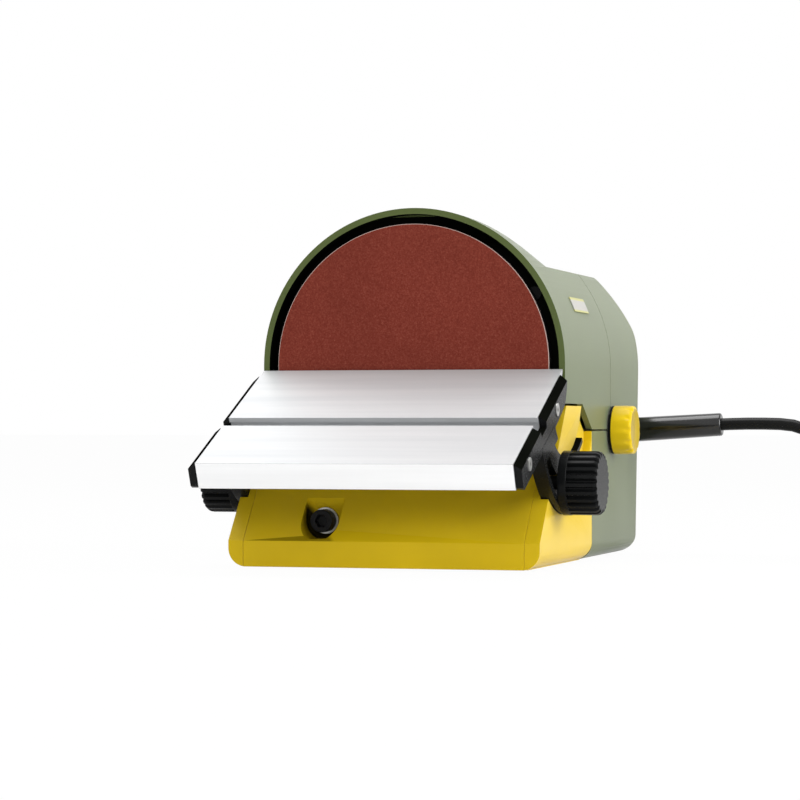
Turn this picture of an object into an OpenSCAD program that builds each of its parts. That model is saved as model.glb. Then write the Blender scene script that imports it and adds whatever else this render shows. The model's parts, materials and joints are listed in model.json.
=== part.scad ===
// Benchtop disc sander: a 125 mm disc in an arched housing, with a tilting aluminium table.
// X runs to the right, Y runs back from the operator, Z is up and the bench is at zero.
// Sizes along Y are counted from the face of the disc.

/* [Housing] */
// Radius of the arched housing, which is also half its width
housing_r = 69.6; // [69:0.1:74]
// Height of the disc axis above the bench
axis_z = 90; // [88:0.5:94]
// Height of the flat roof behind the arch
roof_z = 134.2; // [131:0.2:138]
// Reach of the yellow front ahead of the disc face
front_reach = 47; // [46:0.5:52]
// Reach of the rear wall behind the disc face
rear_reach = 162.4; // [160:0.2:172]
// Height at which the rear wall meets the rear slope
rear_top_z = 108.6; // [104:0.2:112]
// Lean of the rear wall, in degrees
rear_draft = 4.7; // [0:0.1:6]
// Where the roof turns down into the rear slope
slope_y = 133.6; // [128:0.2:138]
// Width of the crown left standing at the front of the arch
crown_w = 9.4; // [8:0.2:14]
// Radius of the hollow sweep from the crown down to the roof
sweep_r = 32; // [28:0.5:40]
// Height of the sweep's centre above the top of the arch
sweep_lift = 5.2; // [2:0.2:8]
// Wall of the moulded shells
wall = 2.7; // [2.2:0.1:3.2]
// Radius of the long lower edges
lower_r = 8; // [5:0.5:12]
// Radius of the lower rear corner
heel_r = 9; // [8:0.5:16]
// Radius of the rear corners on the slope
shoulder_r = 8; // [5:0.5:12]
// Gap that shows at the upright seams between shells
seam = 0.4; // [0.3:0.1:0.8]
// Gap that shows at the level seam
level_seam = 0.7; // [0.3:0.1:1]
// Height of the level seam
seam_z = 60.7; // [58:0.1:63]
// Place of the upright seam behind the disc face
seam_y = 96; // [92:0.5:100]
// Place of the joint between the yellow base and the rear shell
joint_y = 54.8; // [54:0.2:60]
// Height of the housing's underside above the bench
foot_h = 1.6; // [1.6:0.1:4]
// Gap between the disc face and the front rim of the arch
rim_back = 0.6; // [0.2:0.1:1.5]

/* [Yellow base] */
// Height of the upright band under the sloped front
band_z = 12.9; // [10:0.1:16]
// Height of the ears beside the disc
ear_z = 71.5; // [70:0.1:74]
// Where the slope meets the top of the ears, behind the disc face
ear_front = 3.1; // [1:0.1:6]
// Where the top of the ears ends
ear_back = 35; // [34:0.2:38]
// Thickness of the cheeks that carry the table brackets
cheek_t = 6.7; // [6.2:0.1:8]
// Depth of the ring groove in each cheek
groove_d = 3.6; // [3.3:0.1:4]
// Inner radius of the ring groove, which guides the brackets
groove_r0 = 38; // [36:0.2:40]
// Outer radius of the ring groove
groove_r1 = 63.6; // [63.4:0.2:66]
// Clearance round the front panel
panel_gap = 0.1; // [0.1:0.1:0.6]
// Gap between the upper edge of the front panel and the disc face
panel_back = 3.4; // [2:0.2:6]
// Width of the pocket for the panel bolt
pocket_w = 16.9; // [15:0.1:20]
// Place of the panel bolt to the left of the middle
bolt_x = 29.8; // [20:0.1:36]
// Height of the panel bolt
bolt_z = 21.4; // [20:0.1:26]
// Height of the upper edge of that pocket
pocket_top = 31.2; // [28:0.1:36]
// Height of the flat foot of that pocket
pocket_foot = 13.8; // [13:0.1:15]

/* [Disc] */
// Radius of the sanding disc
disc_r = 62.5; // [61:0.1:63]
// Thickness of the abrasive sheet
paper_t = 0.8; // [0.5:0.1:1.4]
// Thickness of the backing disc
backing_t = 5.2; // [4:0.1:6]
// Radius of the hub behind the disc
hub_r = 13; // [11:0.2:14]
// Length of the hub
hub_l = 12; // [8:0.5:12.5]
// Radius of the spindle
spindle_r = 5; // [4:0.1:6]
// Running clearance between a shaft and its bore
run_fit = 0.05; // [0.02:0.01:0.1]

/* [Table] */
// Distance of the tilt axis ahead of the disc face
table_gap = 1.4; // [1:0.1:3]
// Height of the tilt axis, at the rear edge of the table top
table_z = 87.5; // [86:0.1:89]
// Depth of the table
table_d = 98.1; // [90:0.1:110]
// Width of the aluminium table
table_w = 137.8; // [136:0.2:138]
// Thickness of the table
table_t = 12; // [11:0.1:12.4]
// Tilt of the table as it stands, front edge down, in degrees
rest_tilt = 24.4; // [0:0.2:50]
// Distance of the cross slot from the rear edge
slot_t = 51.6; // [46:0.2:56]
// Width of the cross slot
slot_w = 8.2; // [7:0.1:9]
// Depth of the cross slot
slot_d = 7.6; // [6:0.1:8]
// Thickness of the table skin
skin_t = 3.4; // [2.6:0.1:4]
// Thickness of the table end caps
cap_t = 3.1; // [2.4:0.1:3.4]
// Distance of the rear cap screws from the rear edge
cap_screw_a = 30; // [27:0.5:34]
// Distance of the front cap screws from the rear edge
cap_screw_b = 85; // [80:0.5:88]
// Depth of the cap screws below the table top
cap_screw_n = 6; // [5:0.1:7]
// Outer radius of the bracket arcs
arc_r1 = 63.2; // [62.8:0.1:63.3]
// Inner radius of the bracket arcs
arc_r0 = 38.2; // [38.1:0.1:39]
// Thickness of the flange along the outer arc
flange_t = 3; // [1.6:0.1:3.4]
// Thickness of the bracket web
web_t = 3.7; // [3.2:0.1:3.7]
// Standing height of the flange above the web
flange_h = 2.4; // [2:0.1:3.2]
// Steepest tilt of the table, front edge down, in degrees
tilt_down = 50; // [40:1:50]
// Steepest tilt of the table, front edge up, in degrees
tilt_up = 10; // [0:1:12]

/* [Clamp knobs] */
// Distance of the clamp axis ahead of the disc face
clamp_y = 15; // [14:0.2:16]
// Height of the clamp axis
clamp_z = 38; // [37:0.2:39]
// Radius of the clamp knobs
knob_r = 14; // [12:0.05:14]
// Distance of the knobs' outer faces from the middle
knob_x = 90; // [86:0.2:94]
// Thickness of the plain collar of a knob
collar_t = 3.8; // [3:0.1:6]
// Number of flutes on a knob
knob_flutes = 24; // [12:1:26]
// Radius of the clamp studs
stud_r = 3; // [2.5:0.1:3]

/* [Drive] */
// Radius of the driven pulley
pulley_r = 24; // [20:0.5:25]
// Radius of the motor pulley
pinion_r = 8; // [7:0.5:9]
// Width of the drive belt
belt_w = 8; // [6:0.5:9]
// Thickness of the drive belt
belt_t = 1.8; // [1.4:0.1:2.2]
// Distance of the motor axis to the left of the disc axis
motor_x = 37; // [36:0.5:38]
// Height of the motor axis above the disc axis
motor_up = 6; // [4:0.5:8]
// Radius of the motor can
motor_r = 26; // [24:0.5:27]
// Length of the motor can
motor_l = 52; // [48:1:54]
// Radius of the motor shaft
shaft_r = 2.5; // [2:0.1:3]

/* [Dust port] */
// Outer radius of the dust port
port_r = 19; // [17:0.5:20]
// Wall of the dust duct
port_wall = 2.5; // [2:0.1:3]
// Height of the dust port's axis
port_z = 27; // [26:0.5:30]
// Reach of the dust port behind the disc face
port_reach = 185; // [180:1:195]

/* [Controls] */
// Place of the speed dial behind the disc face
dial_y = 98; // [96:0.5:102]
// Height of the speed dial and of the mains lead
dial_z = 60.7; // [59:0.1:63]
// Radius of the speed dial
dial_r = 11.4; // [10:0.1:12]
// Standing height of the speed dial
dial_h = 9.5; // [8:0.5:12]
// Place of the rocker switch behind the disc face
switch_y = 112; // [106:1:118]
// Height of the rocker switch
switch_z = 50; // [46:0.5:54]

/* [Mains lead] */
// Diameter of the mains lead
cord_d = 6; // [5:0.1:6]
// Place of the lead's sleeve behind the disc face
sleeve_y = 145; // [143:0.5:146]
// Length of the sleeve outside the housing
sleeve_l = 44.4; // [40:0.2:46]
// Rise of the sleeve, in degrees
sleeve_rise = 3.4; // [3.2:0.1:3.6]
// Least gap between neighbouring turns of the coil
turn_gap = 0.6; // [0.6:0.1:1]
// Turns of the coil
coil_turns = 7.25; // [5.25:1:7.25]
// Radius of the outermost turn of the coil
coil_r = 40.6; // [38:0.2:42]

/* [Hidden] */
$fn = 64;

// The origin stands under the middle of the machine, this far behind the disc face
origin_back = 47;
// Clearance between still parts that are fitted into one another
fit = 0.3;
// Overlap that lets a cut run past a face
cut = 1;
// Reach of cuts that clear the whole machine
far = 400;
// Step that keeps rounds from only just touching
settle = 0.02;

// Housing places worked out from the sizes above
arch_top = axis_z + housing_r;
sweep_y = crown_w + sqrt(sweep_r * sweep_r - sweep_lift * sweep_lift);
sweep_z = arch_top + sweep_lift;
slope_a = atan((roof_z - rear_top_z) / (rear_reach - slope_y));
cheek_x = housing_r - cheek_t;
groove_x = housing_r - groove_d;
front_a = atan((ear_z - band_z) / (ear_front + front_reach));
floor_z = foot_h + wall;
inner_r = housing_r - wall;
bolt_back = front_reach - (pocket_top - band_z) / tan(front_a);
notch_z = ear_z + 1;
sheet = 2;

// Table and brackets
clamp_dy = clamp_y - table_gap;
clamp_dz = table_z - clamp_z;
clamp_r = sqrt(clamp_dy * clamp_dy + clamp_dz * clamp_dz);
clamp_a = atan(clamp_dy / clamp_dz);
guide_r = stud_r + fit;
guide_a0 = 90 - tilt_down - clamp_a;
guide_a1 = 90 + tilt_up - clamp_a;
web_end = guide_a1 + 9;
finger_a0 = guide_a1 - 11;
finger_a1 = guide_a1 + 19;
finger_w = 2.2;
under_n = table_t + fit;
gusset_n = table_t + 6;
cap_x0 = table_w / 2 + fit;
cap_x1 = cap_x0 + cap_t;
web_x0 = groove_x + fit;
web_x1 = web_x0 + web_t;
flange_x = web_x1 + flange_h;
collar_x = flange_x + fit;
flute_x = collar_x + collar_t;
insert_r = stud_r + 1.4;
insert_x = cheek_x - 4.9;

// Drive train places along Y
back_y = paper_t + backing_t;
bulkhead_y = 10;
bulkhead_t = 3;
carrier_y = bulkhead_y + bulkhead_t;
crest_z = sweep_z - sqrt(pow(sweep_r + wall + fit, 2) - pow(sweep_y - carrier_y, 2));
bearing_r = 13;
bearing_w = 8;
race_t = 2;
ball_r = 1.7;
bearing_a = 22;
bearing_b = 50;
carrier_end = bearing_b + bearing_w + 4;
carrier_r = 17;
flange_r = 25.5;
pulley_y = carrier_end + 3;
rim_t = 1.7;
pulley_w = belt_w + 2 * rim_t + 2 * fit;
motor_y = pulley_y + pulley_w + 7;
plate_t = 3;
plate_y = motor_y - fit - plate_t;
motor_z = axis_z + motor_up;
can_t = 1.6;
magnet_t = 4.1;
core_r = motor_r - can_t - magnet_t - 1.1;
core_y = motor_y + 14;
core_l = 28;
slots = 10;
slot_ring = core_r - 3;
bell_y = motor_y + motor_l + fit;
bell_r = 22;
comm_r = 8;
comm_y = bell_y - 7;
brush_y = bell_y - 4.5;
post_r = 3.5;
post_tip_r = 2;

// Screw places, left to right across the housing
shell_screw_xz = [[-49.5, 128], [49.5, 128]];
base_screw_xy = [[-51, -10], [51, -10], [-51, 40], [51, 40], [-51, 70], [51, 70], [-51, 134], [51, 134]];
feet_xy = [[-40, -2], [40, -2], [-38, 124], [38, 124]];
arch_screw_xz = [[0, roof_z - 1], [-54.1, axis_z + 31.3], [54.1, axis_z + 31.3]];
screw_reach = 9;
floor_screw_xz = [[-54, 16], [54, 16]];
carrier_screw_xz = [[15.2, 15.2], [-15.2, 15.2], [15.2, -15.2], [-15.2, -15.2]];
post_xz = [[26, 116], [26, 66], [-22, 124], [-40, 64]];
board_x = housing_r - 11;
board_y = [dial_y + 8, rear_reach - 16.4];
board_yz = [for (y = [board_y[0] + 4, board_y[1] - 4], z = [74, 100]) [y, z]];
clamp_x = housing_r - 15.6;
clamp_span = [sleeve_y - 8, sleeve_y + 8];
clamp_screw_y = [sleeve_y - 5.5, sleeve_y + 5.5];
tread = 1.4;
head_r = 3;
bottom_x = 56;
bottom_y = [-16, 142];
bottom_t = 1.2;
rim_w = 10;

// Mains lead: a hand-chosen route from the sleeve to the top of the coil
sleeve_r0 = 5.9;
sleeve_r1 = 5.5;
sleeve_end = [housing_r + sleeve_l * cos(sleeve_rise), sleeve_y, dial_z + sleeve_l * sin(sleeve_rise)];
lead_xz = [[118, 63.5], [126, 63.7], [134, 63.7], [142, 63.5], [148.2, 62.8], [154.2, 60.9],
    [159.6, 57.8], [164.3, 53.6], [168, 48.5], [171, 43.2], [174.1, 37.8], [177.8, 32.7], [182.5, 28.5],
    [187.9, 25.4], [193.9, 23.5], [200.1, 22.8]];
coil_x = 214;
coil_y = sleeve_y - coil_r;
floor_lift = 0.05;
layer_step = cord_d + turn_gap;
layers = 4;
coil_top = floor_lift + cord_d / 2 + (layers - 1) * layer_step;
layer_turns = coil_turns / layers;
turn_rings = 24;
coil_sides = 6;
lead_sides = 10;
tail_l = 36;
plug_l = 34;
plug_w = 35;
plug_t = 14;
plug_z = floor_lift + plug_t / 2;
pin_l = 19;
pin_r = 2;
pin_pitch = 18.6;

// Points on an arc about a centre, from one angle to another
function arc(c, r, a0, a1, n = 12) =
    [for (i = [0:n]) let (a = a0 + (a1 - a0) * i / n) [c[0] + r * cos(a), c[1] + r * sin(a)]];

// A corner v of an outline between p and q, rounded to radius r
function unit(v) = v / norm(v);
function half_turn(a) = a > 180 ? a - 360 : a < -180 ? a + 360 : a;
function round_corner(p, v, q, r) =
    let (a = unit(p - v), b = unit(q - v), half = acos(a * b) / 2,
        c = v + unit(a + b) * r / sin(half), s = v + a * r / tan(half), e = v + b * r / tan(half),
        a0 = atan2(s[1] - c[1], s[0] - c[0]), a1 = atan2(e[1] - c[1], e[0] - c[0]))
    arc(c, r, a0, a0 + half_turn(a1 - a0));

// Sketches are drawn with their first axis along Y or X and their second axis up
module along_x(x0, x1) {
    translate([x0, 0, 0]) rotate([90, 0, 90]) linear_extrude(x1 - x0) children();
}

module along_y(y0, y1) {
    translate([0, y1, 0]) rotate([90, 0, 0]) linear_extrude(y1 - y0) children();
}

module rod_x(x0, x1, y, z, r) {
    translate([x0, y, z]) rotate([0, 90, 0]) cylinder(h = x1 - x0, r = r);
}

module rod_y(y0, y1, x, z, r) {
    translate([x, y0, z]) rotate([-90, 0, 0]) cylinder(h = y1 - y0, r = r);
}

module rod_z(z0, z1, x, y, r) {
    translate([x, y, z0]) cylinder(h = z1 - z0, r = r);
}

module block(x, y, z) {
    translate([x[0], y[0], z[0]]) cube([x[1] - x[0], y[1] - y[0], z[1] - z[0]]);
}

// A piece turned about an axis along Y, from a sketch of radius against Y
module turned_y(x, z) {
    translate([x, 0, z]) rotate([-90, 0, 0]) rotate_extrude() children();
}

module washer_y(y0, y1, x, z, r, hole) {
    difference() {
        rod_y(y0, y1, x, z, r);
        rod_y(y0 - cut, y1 + cut, x, z, hole);
    }
}

// Everything is drawn about the disc face and then moved to the origin
module placed() {
    translate([0, -origin_back, 0]) children();
}

module left_side() {
    mirror([1, 0, 0]) children();
}

module both_sides() {
    children();
    left_side() children();
}

// Screw with a pan head; y is the seat of the head and the shank runs back
module screw_back(x, y, z, l) {
    rod_y(y - 1.9, y, x, z, head_r);
    rod_y(y - 0.5, y + l, x, z, tread);
}

// Arched cross-section of the housing, drawn inward by g
module arch_section(g) {
    r = lower_r - g;
    translate([0, axis_z]) circle(housing_r - g);
    translate([g - housing_r, foot_h + lower_r]) square([2 * (housing_r - g), axis_z - foot_h - lower_r]);
    translate([lower_r - housing_r, foot_h + g]) square([2 * (housing_r - lower_r), lower_r]);
    for (s = [-1, 1]) translate([s * (housing_r - lower_r), foot_h + lower_r]) circle(r);
}

// Side outline of the housing below its roof, drawn inward by g
function side_points(g) =
    let (td = tan(rear_draft), ts = tan(slope_a), reach = rear_reach - g / cos(rear_draft),
        fall = roof_z - g / cos(slope_a), low = foot_h + g,
        bz = (fall - (reach - rear_top_z * td - slope_y) * ts) / (1 + td * ts),
        a = [reach - (rear_top_z - low) * td, low],
        b = [reach - (rear_top_z - bz) * td, bz],
        c = [slope_y + (fall - roof_z + g) / ts, roof_z - g],
        f0 = [-front_reach, low], f1 = [-front_reach, roof_z - g])
    concat([f0], round_corner(f0, a, b, heel_r - g), round_corner(a, b, c, shoulder_r - g),
        round_corner(b, c, f1, shoulder_r - g), [f1]);

module side_section(g) {
    polygon(side_points(g));
    difference() {
        translate([-front_reach, axis_z]) square([front_reach + sweep_y, arch_top - g - axis_z]);
        translate([sweep_y, sweep_z]) circle(sweep_r + g);
    }
}

// The housing as a block from y0 back to y1, drawn inward by g
module housing_block(g, y0, y1) {
    intersection() {
        along_y(y0, y1) arch_section(g);
        along_x(-housing_r, housing_r) side_section(g);
    }
}

// Opening in the underside, stepped to take the base plate
module bottom_opening() {
    block([-bottom_x - fit, bottom_x + fit], [bottom_y[0] - fit, bottom_y[1] + fit],
        [foot_h - cut, foot_h + bottom_t + fit]);
    block([rim_w - bottom_x, bottom_x - rim_w], [bottom_y[0] + rim_w, bottom_y[1] - rim_w],
        [foot_h - cut, floor_z + cut]);
}

// Bosses over the base plate's screws
module floor_boss(p) {
    rod_z(foot_h + bottom_t + fit, foot_h + 10, p[0], p[1], 4.5);
}

module floor_boss_hole(p) {
    rod_z(foot_h, foot_h + 9, p[0], p[1], tread + 0.1);
}

// Yellow base: a floor between two cheeks, with the ears beside the disc
cheek_points = concat([[-front_reach, foot_h], [-front_reach, band_z], [ear_front, ear_z],
    [ear_back, ear_z], [joint_y, seam_z - 1]],
    round_corner([joint_y, seam_z], [joint_y, foot_h], [-front_reach, foot_h], lower_r));

module ring_groove() {
    difference() {
        rod_x(groove_x, housing_r + cut, -table_gap, table_z, groove_r1);
        rod_x(groove_x - cut, housing_r + 2 * cut, -table_gap, table_z, groove_r0);
        translate([groove_x - cut, joint_y - 1, 0]) cube([groove_d + 4 * cut, far, far]);
    }
}

module base_body() {
    color("gold") placed() difference() {
        union() {
            intersection() {
                along_y(-front_reach, joint_y) arch_section(0);
                both_sides() along_x(cheek_x, housing_r) polygon(cheek_points);
            }
            difference() {
                block([-cheek_x - cut, cheek_x + cut], [wall + fit - front_reach, joint_y],
                    [foot_h, floor_z]);
                bottom_opening();
            }
            for (p = base_screw_xy) if (p[1] < joint_y) floor_boss(p);
            for (p = floor_screw_xz) {
                rod_y(carrier_y + fit, carrier_y + screw_reach, p[0], p[1], 4.5);
                block([p[0] - 4.5, p[0] + 4.5], [carrier_y + fit, carrier_y + screw_reach],
                    [foot_h + 2, p[1]]);
            }
            block([-bolt_x - 6, -bolt_x + 6], [sheet + fit - bolt_back, 14 - bolt_back],
                [foot_h + 1, bolt_z + 6]);
        }
        both_sides() ring_groove();
        both_sides() rod_x(cheek_x - cut, groove_x + cut, -clamp_y, clamp_z, insert_r + 0.1);
        for (p = base_screw_xy) floor_boss_hole(p);
        for (p = floor_screw_xz) rod_y(carrier_y, far, p[0], p[1], tread + 0.1);
        rod_y(-bolt_back, 13 - bolt_back, -bolt_x, bolt_z, 3);
    }
}

// Front panel: an upright band and the slope above it, with a pocket for its bolt
function panel_points(g) =
    let (reach = front_reach - panel_back, x = g - front_reach)
    [[x, foot_h - (g > 0 ? cut : 0)], [x, band_z - g * tan(front_a / 2)],
        [cut - panel_back, band_z - g / cos(front_a) + (reach + cut) * tan(front_a)],
        [cut - panel_back, foot_h - (g > 0 ? cut : 0)]];

module panel_outline(g) {
    intersection() {
        polygon(panel_points(g));
        translate([-far, -far]) square([far - panel_back, 2 * far]);
    }
}

// The pocket is square above and round below, with a flat foot
module pocket(g) {
    along_y(-front_reach - cut, g - bolt_back) intersection() {
        union() {
            translate([-bolt_x, bolt_z]) circle(pocket_w / 2 + g);
            translate([-bolt_x - pocket_w / 2 - g, bolt_z])
                square([pocket_w + 2 * g, pocket_top - bolt_z + (g > 0 ? g : cut)]);
        }
        translate([-far, pocket_foot - g]) square([2 * far, far]);
    }
}

module front_panel() {
    x = cheek_x - panel_gap;
    color("gold") placed() difference() {
        union() {
            along_x(-x, x) difference() {
                panel_outline(0);
                polygon(panel_points(wall));
            }
            intersection() {
                along_x(-x, x) panel_outline(0);
                pocket(sheet);
            }
        }
        pocket(0);
        rod_y(-front_reach, 0, -bolt_x, bolt_z, 3.2);
    }
}

module panel_bolt() {
    y = -bolt_back - 1.5;
    color("dimgray") placed() difference() {
        union() {
            rod_y(y - 6, y, -bolt_x, bolt_z, 5);
            rod_y(y - cut, y + 13, -bolt_x, bolt_z, 2.9);
        }
        along_y(y - 6 - cut, y - 3) translate([-bolt_x, bolt_z]) circle(2.9, $fn = 6);
    }
}

module panel_washer() {
    color("silver") placed() washer_y(-bolt_back - 1.4, -bolt_back - 0.1, -bolt_x, bolt_z, 5.9, 3.1);
}

// Green front shell: the arch round the disc and the roof as far as the upright seam
module front_shell() {
    y1 = seam_y - seam / 2;
    z0 = seam_z + level_seam / 2;
    color("darkseagreen") placed() difference() {
        union() {
            difference() {
                intersection() {
                    housing_block(0, rim_back, y1);
                    along_x(-housing_r, housing_r) polygon([[rim_back, notch_z], [ear_back + 0.4, notch_z],
                        [joint_y + 0.6, z0], [y1, z0], [y1, arch_top + cut], [rim_back, arch_top + cut]]);
                }
                housing_block(wall, rim_back - cut, y1 + cut);
            }
            intersection() {
                housing_block(0.5, rim_back, y1);
                union() {
                    for (p = shell_screw_xz) rod_y(y1 - 14, y1, p[0], p[1], 5);
                    for (p = arch_screw_xz) rod_y(carrier_y + fit, carrier_y + screw_reach, p[0], p[1], 5);
                }
            }
        }
        for (p = shell_screw_xz) rod_y(y1 - 13, y1 + cut, p[0], p[1], tread + 0.1);
        for (p = arch_screw_xz) rod_y(carrier_y, carrier_y + screw_reach, p[0], p[1], tread + 0.1);
        rod_x(0, housing_r + cut, dial_y, dial_z, 4.3);
    }
}

// Green rear shell: the tail below the level seam and behind the upright one
module rear_shell() {
    y1 = seam_y + seam / 2;
    color("darkseagreen") placed() difference() {
        union() {
            difference() {
                housing_block(0, joint_y + seam, rear_reach + cut);
                housing_block(wall, joint_y, rear_reach);
                block([-far, far], [0, y1], [seam_z - level_seam / 2, far]);
                bottom_opening();
            }
            intersection() {
                housing_block(0.5, joint_y + seam, rear_reach);
                union() {
                    for (p = shell_screw_xz) rod_y(y1, rear_reach, p[0], p[1], 5.4);
                    for (p = board_yz) rod_x(board_x + 1.9, housing_r, p[0], p[1], 3);
                    block([clamp_x - 4, housing_r], clamp_span, [dial_z - 14.7, dial_z - 8.4]);
                    block([clamp_x - 4, clamp_x + 4], clamp_span, [dial_z - 8.7, dial_z - 3.2]);
                }
            }
            for (p = base_screw_xy) if (p[1] > joint_y) floor_boss(p);
        }
        for (p = shell_screw_xz) {
            rod_y(y1 - cut, rear_reach, p[0], p[1], tread + 0.2);
            rod_y(seam_y + 14, rear_reach, p[0], p[1], head_r + 0.5);
        }
        for (p = base_screw_xy) floor_boss_hole(p);
        for (y = clamp_screw_y) rod_z(dial_z - 11.7, dial_z, clamp_x, y, tread + 0.1);
        rod_y(140, rear_reach + cut, 0, port_z, port_r + fit);
        rod_x(0, housing_r + cut, dial_y, dial_z, 4.3);
        rod_x(housing_r - 7.6, housing_r + cut, sleeve_y, dial_z, sleeve_r0 + fit);
        left_side() block([housing_r - 9.6, housing_r + cut], [switch_y - 7, switch_y + 7],
            [switch_z - 10, switch_z + 10]);
    }
}

module shell_screws() {
    color("silver") placed() for (p = shell_screw_xz) {
        rod_y(seam_y + 14, seam_y + 16, p[0], p[1], head_r);
        rod_y(seam_y - 12, seam_y + 15, p[0], p[1], tread);
    }
}

module base_plate() {
    color("dimgray") placed() difference() {
        block([-bottom_x, bottom_x], bottom_y, [foot_h, foot_h + bottom_t]);
        for (p = base_screw_xy) rod_z(0, floor_z, p[0], p[1], tread + 0.2);
        for (p = feet_xy) rod_z(0, floor_z, p[0], p[1], 2.6);
    }
}

module base_screws() {
    color("silver") placed() for (p = base_screw_xy) {
        rod_z(foot_h - 1.5, foot_h - 0.1, p[0], p[1], head_r);
        rod_z(foot_h - 1, foot_h + 8, p[0], p[1], tread);
    }
}

module rubber_feet() {
    color("black") placed() for (p = feet_xy) {
        rod_z(0, foot_h - 0.1, p[0], p[1], 8);
        rod_z(1, foot_h + 6, p[0], p[1], 2.4);
    }
}

// Blank label on the curve of the arch
module label_plate() {
    color("white") placed() along_y(38.6, 67) translate([0, axis_z]) intersection() {
        difference() {
            circle(housing_r + 0.4);
            circle(housing_r + 0.1);
        }
        polygon([[0, 0], 100 * [cos(20.4), sin(20.4)], 100 * [cos(26.2), sin(26.2)]]);
    }
}

// Bulkhead between the disc chamber and the drive
module bulkhead() {
    r = inner_r - fit;
    x = cheek_x - fit;
    color("silver") placed() difference() {
        along_y(bulkhead_y, carrier_y) {
            intersection() {
                translate([0, axis_z]) circle(r);
                translate([-r, axis_z]) square([2 * r, crest_z - axis_z]);
            }
            translate([-r, notch_z]) square([2 * r, axis_z - notch_z]);
            translate([-x, floor_z + fit]) square([2 * x, notch_z - floor_z]);
        }
        rod_y(0, far, 0, axis_z, hub_r + 1);
        rod_y(0, far, 0, port_z, port_r + fit);
        for (p = concat(arch_screw_xz, floor_screw_xz)) rod_y(0, far, p[0], p[1], tread + 0.2);
        for (p = carrier_screw_xz) rod_y(0, far, p[0], axis_z + p[1], tread + 0.1);
        for (p = post_xz) rod_y(0, far, p[0], p[1], post_tip_r + 0.1);
    }
}

module bulkhead_screws() {
    color("silver") placed() for (p = concat(arch_screw_xz, floor_screw_xz))
        screw_back(p[0], bulkhead_y - 0.1, p[1], bulkhead_t + screw_reach - 1);
}

// Spindle carrier: a flanged tube bored for two ball bearings
module spindle_carrier() {
    color("silver") placed() difference() {
        turned_y(0, axis_z) polygon([[hub_r + 1, carrier_y + 0.1], [flange_r, carrier_y + 0.1],
            [flange_r, carrier_y + 4], [carrier_r, carrier_y + 4], [carrier_r, carrier_end],
            [bearing_r + run_fit, carrier_end], [bearing_r + run_fit, bearing_b], [10.5, bearing_b],
            [10.5, bearing_a + bearing_w], [bearing_r + run_fit, bearing_a + bearing_w],
            [bearing_r + run_fit, bearing_a - 2.5], [hub_r + 1, bearing_a - 2.5]]);
        for (p = carrier_screw_xz) rod_y(0, carrier_y + 5, p[0], axis_z + p[1], tread + 0.2);
    }
}

module carrier_screws() {
    color("silver") placed() for (p = carrier_screw_xz) {
        rod_y(carrier_y + 4.1, carrier_y + 6, p[0], axis_z + p[1], head_r);
        rod_y(carrier_y - 3, carrier_y + 5, p[0], axis_z + p[1], tread);
    }
}

module bearing_outer_rings() {
    color("lightgray") placed() for (y = [bearing_a, bearing_b])
        washer_y(y + 0.1, y + bearing_w - 0.1, 0, axis_z, bearing_r, bearing_r - race_t);
}

module bearing_inner_rings() {
    color("lightgray") placed() for (y = [bearing_a, bearing_b])
        washer_y(y + 0.1, y + bearing_w - 0.1, 0, axis_z, spindle_r + race_t, spindle_r + run_fit);
}

module bearing_balls() {
    ring = (bearing_r + spindle_r) / 2;
    color("gainsboro") placed() for (y = [bearing_a, bearing_b]) for (i = [0:7])
        translate([ring * cos(45 * i), y + bearing_w / 2, axis_z + ring * sin(45 * i)]) sphere(ball_r);
}

module spindle() {
    color("silver") placed() rod_y(paper_t + 2.1, pulley_y + pulley_w + 2, 0, axis_z, spindle_r);
}

module backing_disc() {
    color("silver") placed() difference() {
        union() {
            rod_y(paper_t + 0.05, back_y, 0, axis_z, disc_r);
            rod_y(back_y - cut, back_y + hub_l, 0, axis_z, hub_r);
        }
        rod_y(paper_t + 2, far, 0, axis_z, spindle_r + run_fit);
        rod_z(axis_z, axis_z + hub_r + cut, 0, back_y + 2.6, 2);
    }
}

module abrasive_disc() {
    color("brown") placed() rod_y(0, paper_t, 0, axis_z, disc_r);
}

module hub_screw() {
    color("black") placed() difference() {
        rod_z(axis_z + spindle_r + 0.1, axis_z + hub_r, 0, back_y + 2.6, 1.9);
        rod_z(axis_z + hub_r - 2, axis_z + hub_r + cut, 0, back_y + 2.6, 1, $fn = 6);
    }
}

// Flanged belt pulley, from a sketch of radius against Y
module pulley(x, z, r, lip, bore) {
    y1 = pulley_y + pulley_w;
    turned_y(x, z) polygon([[bore, pulley_y], [r + lip, pulley_y], [r + lip, pulley_y + rim_t],
        [r, pulley_y + rim_t], [r, y1 - rim_t], [r + lip, y1 - rim_t], [r + lip, y1], [bore, y1]]);
}

module driven_pulley() {
    color("silver") placed() difference() {
        pulley(0, axis_z, pulley_r, 1.2, spindle_r + run_fit);
        for (i = [0:5]) rod_y(pulley_y - cut, pulley_y + pulley_w + cut, 15 * cos(60 * i + 30),
            axis_z + 15 * sin(60 * i + 30), 4);
    }
}

module motor_pulley() {
    color("silver") placed() pulley(-motor_x, motor_z, pinion_r, 1.2, shaft_r + run_fit);
}

// Belt loop, grown by g: round the large pulley, along the tangent and round the small one
function belt_loop(g) =
    let (lean = atan2(motor_up, -motor_x), c = [-motor_x, motor_up],
        spread = acos((pulley_r - pinion_r) / norm(c)))
    concat(
        [for (i = [0:40]) let (a = lean + spread + (360 - 2 * spread) * i / 40)
            (pulley_r + g) * [cos(a), sin(a)]],
        [for (i = [0:24]) let (a = lean - spread + 2 * spread * i / 24)
            c + (pinion_r + g) * [cos(a), sin(a)]]);

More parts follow.
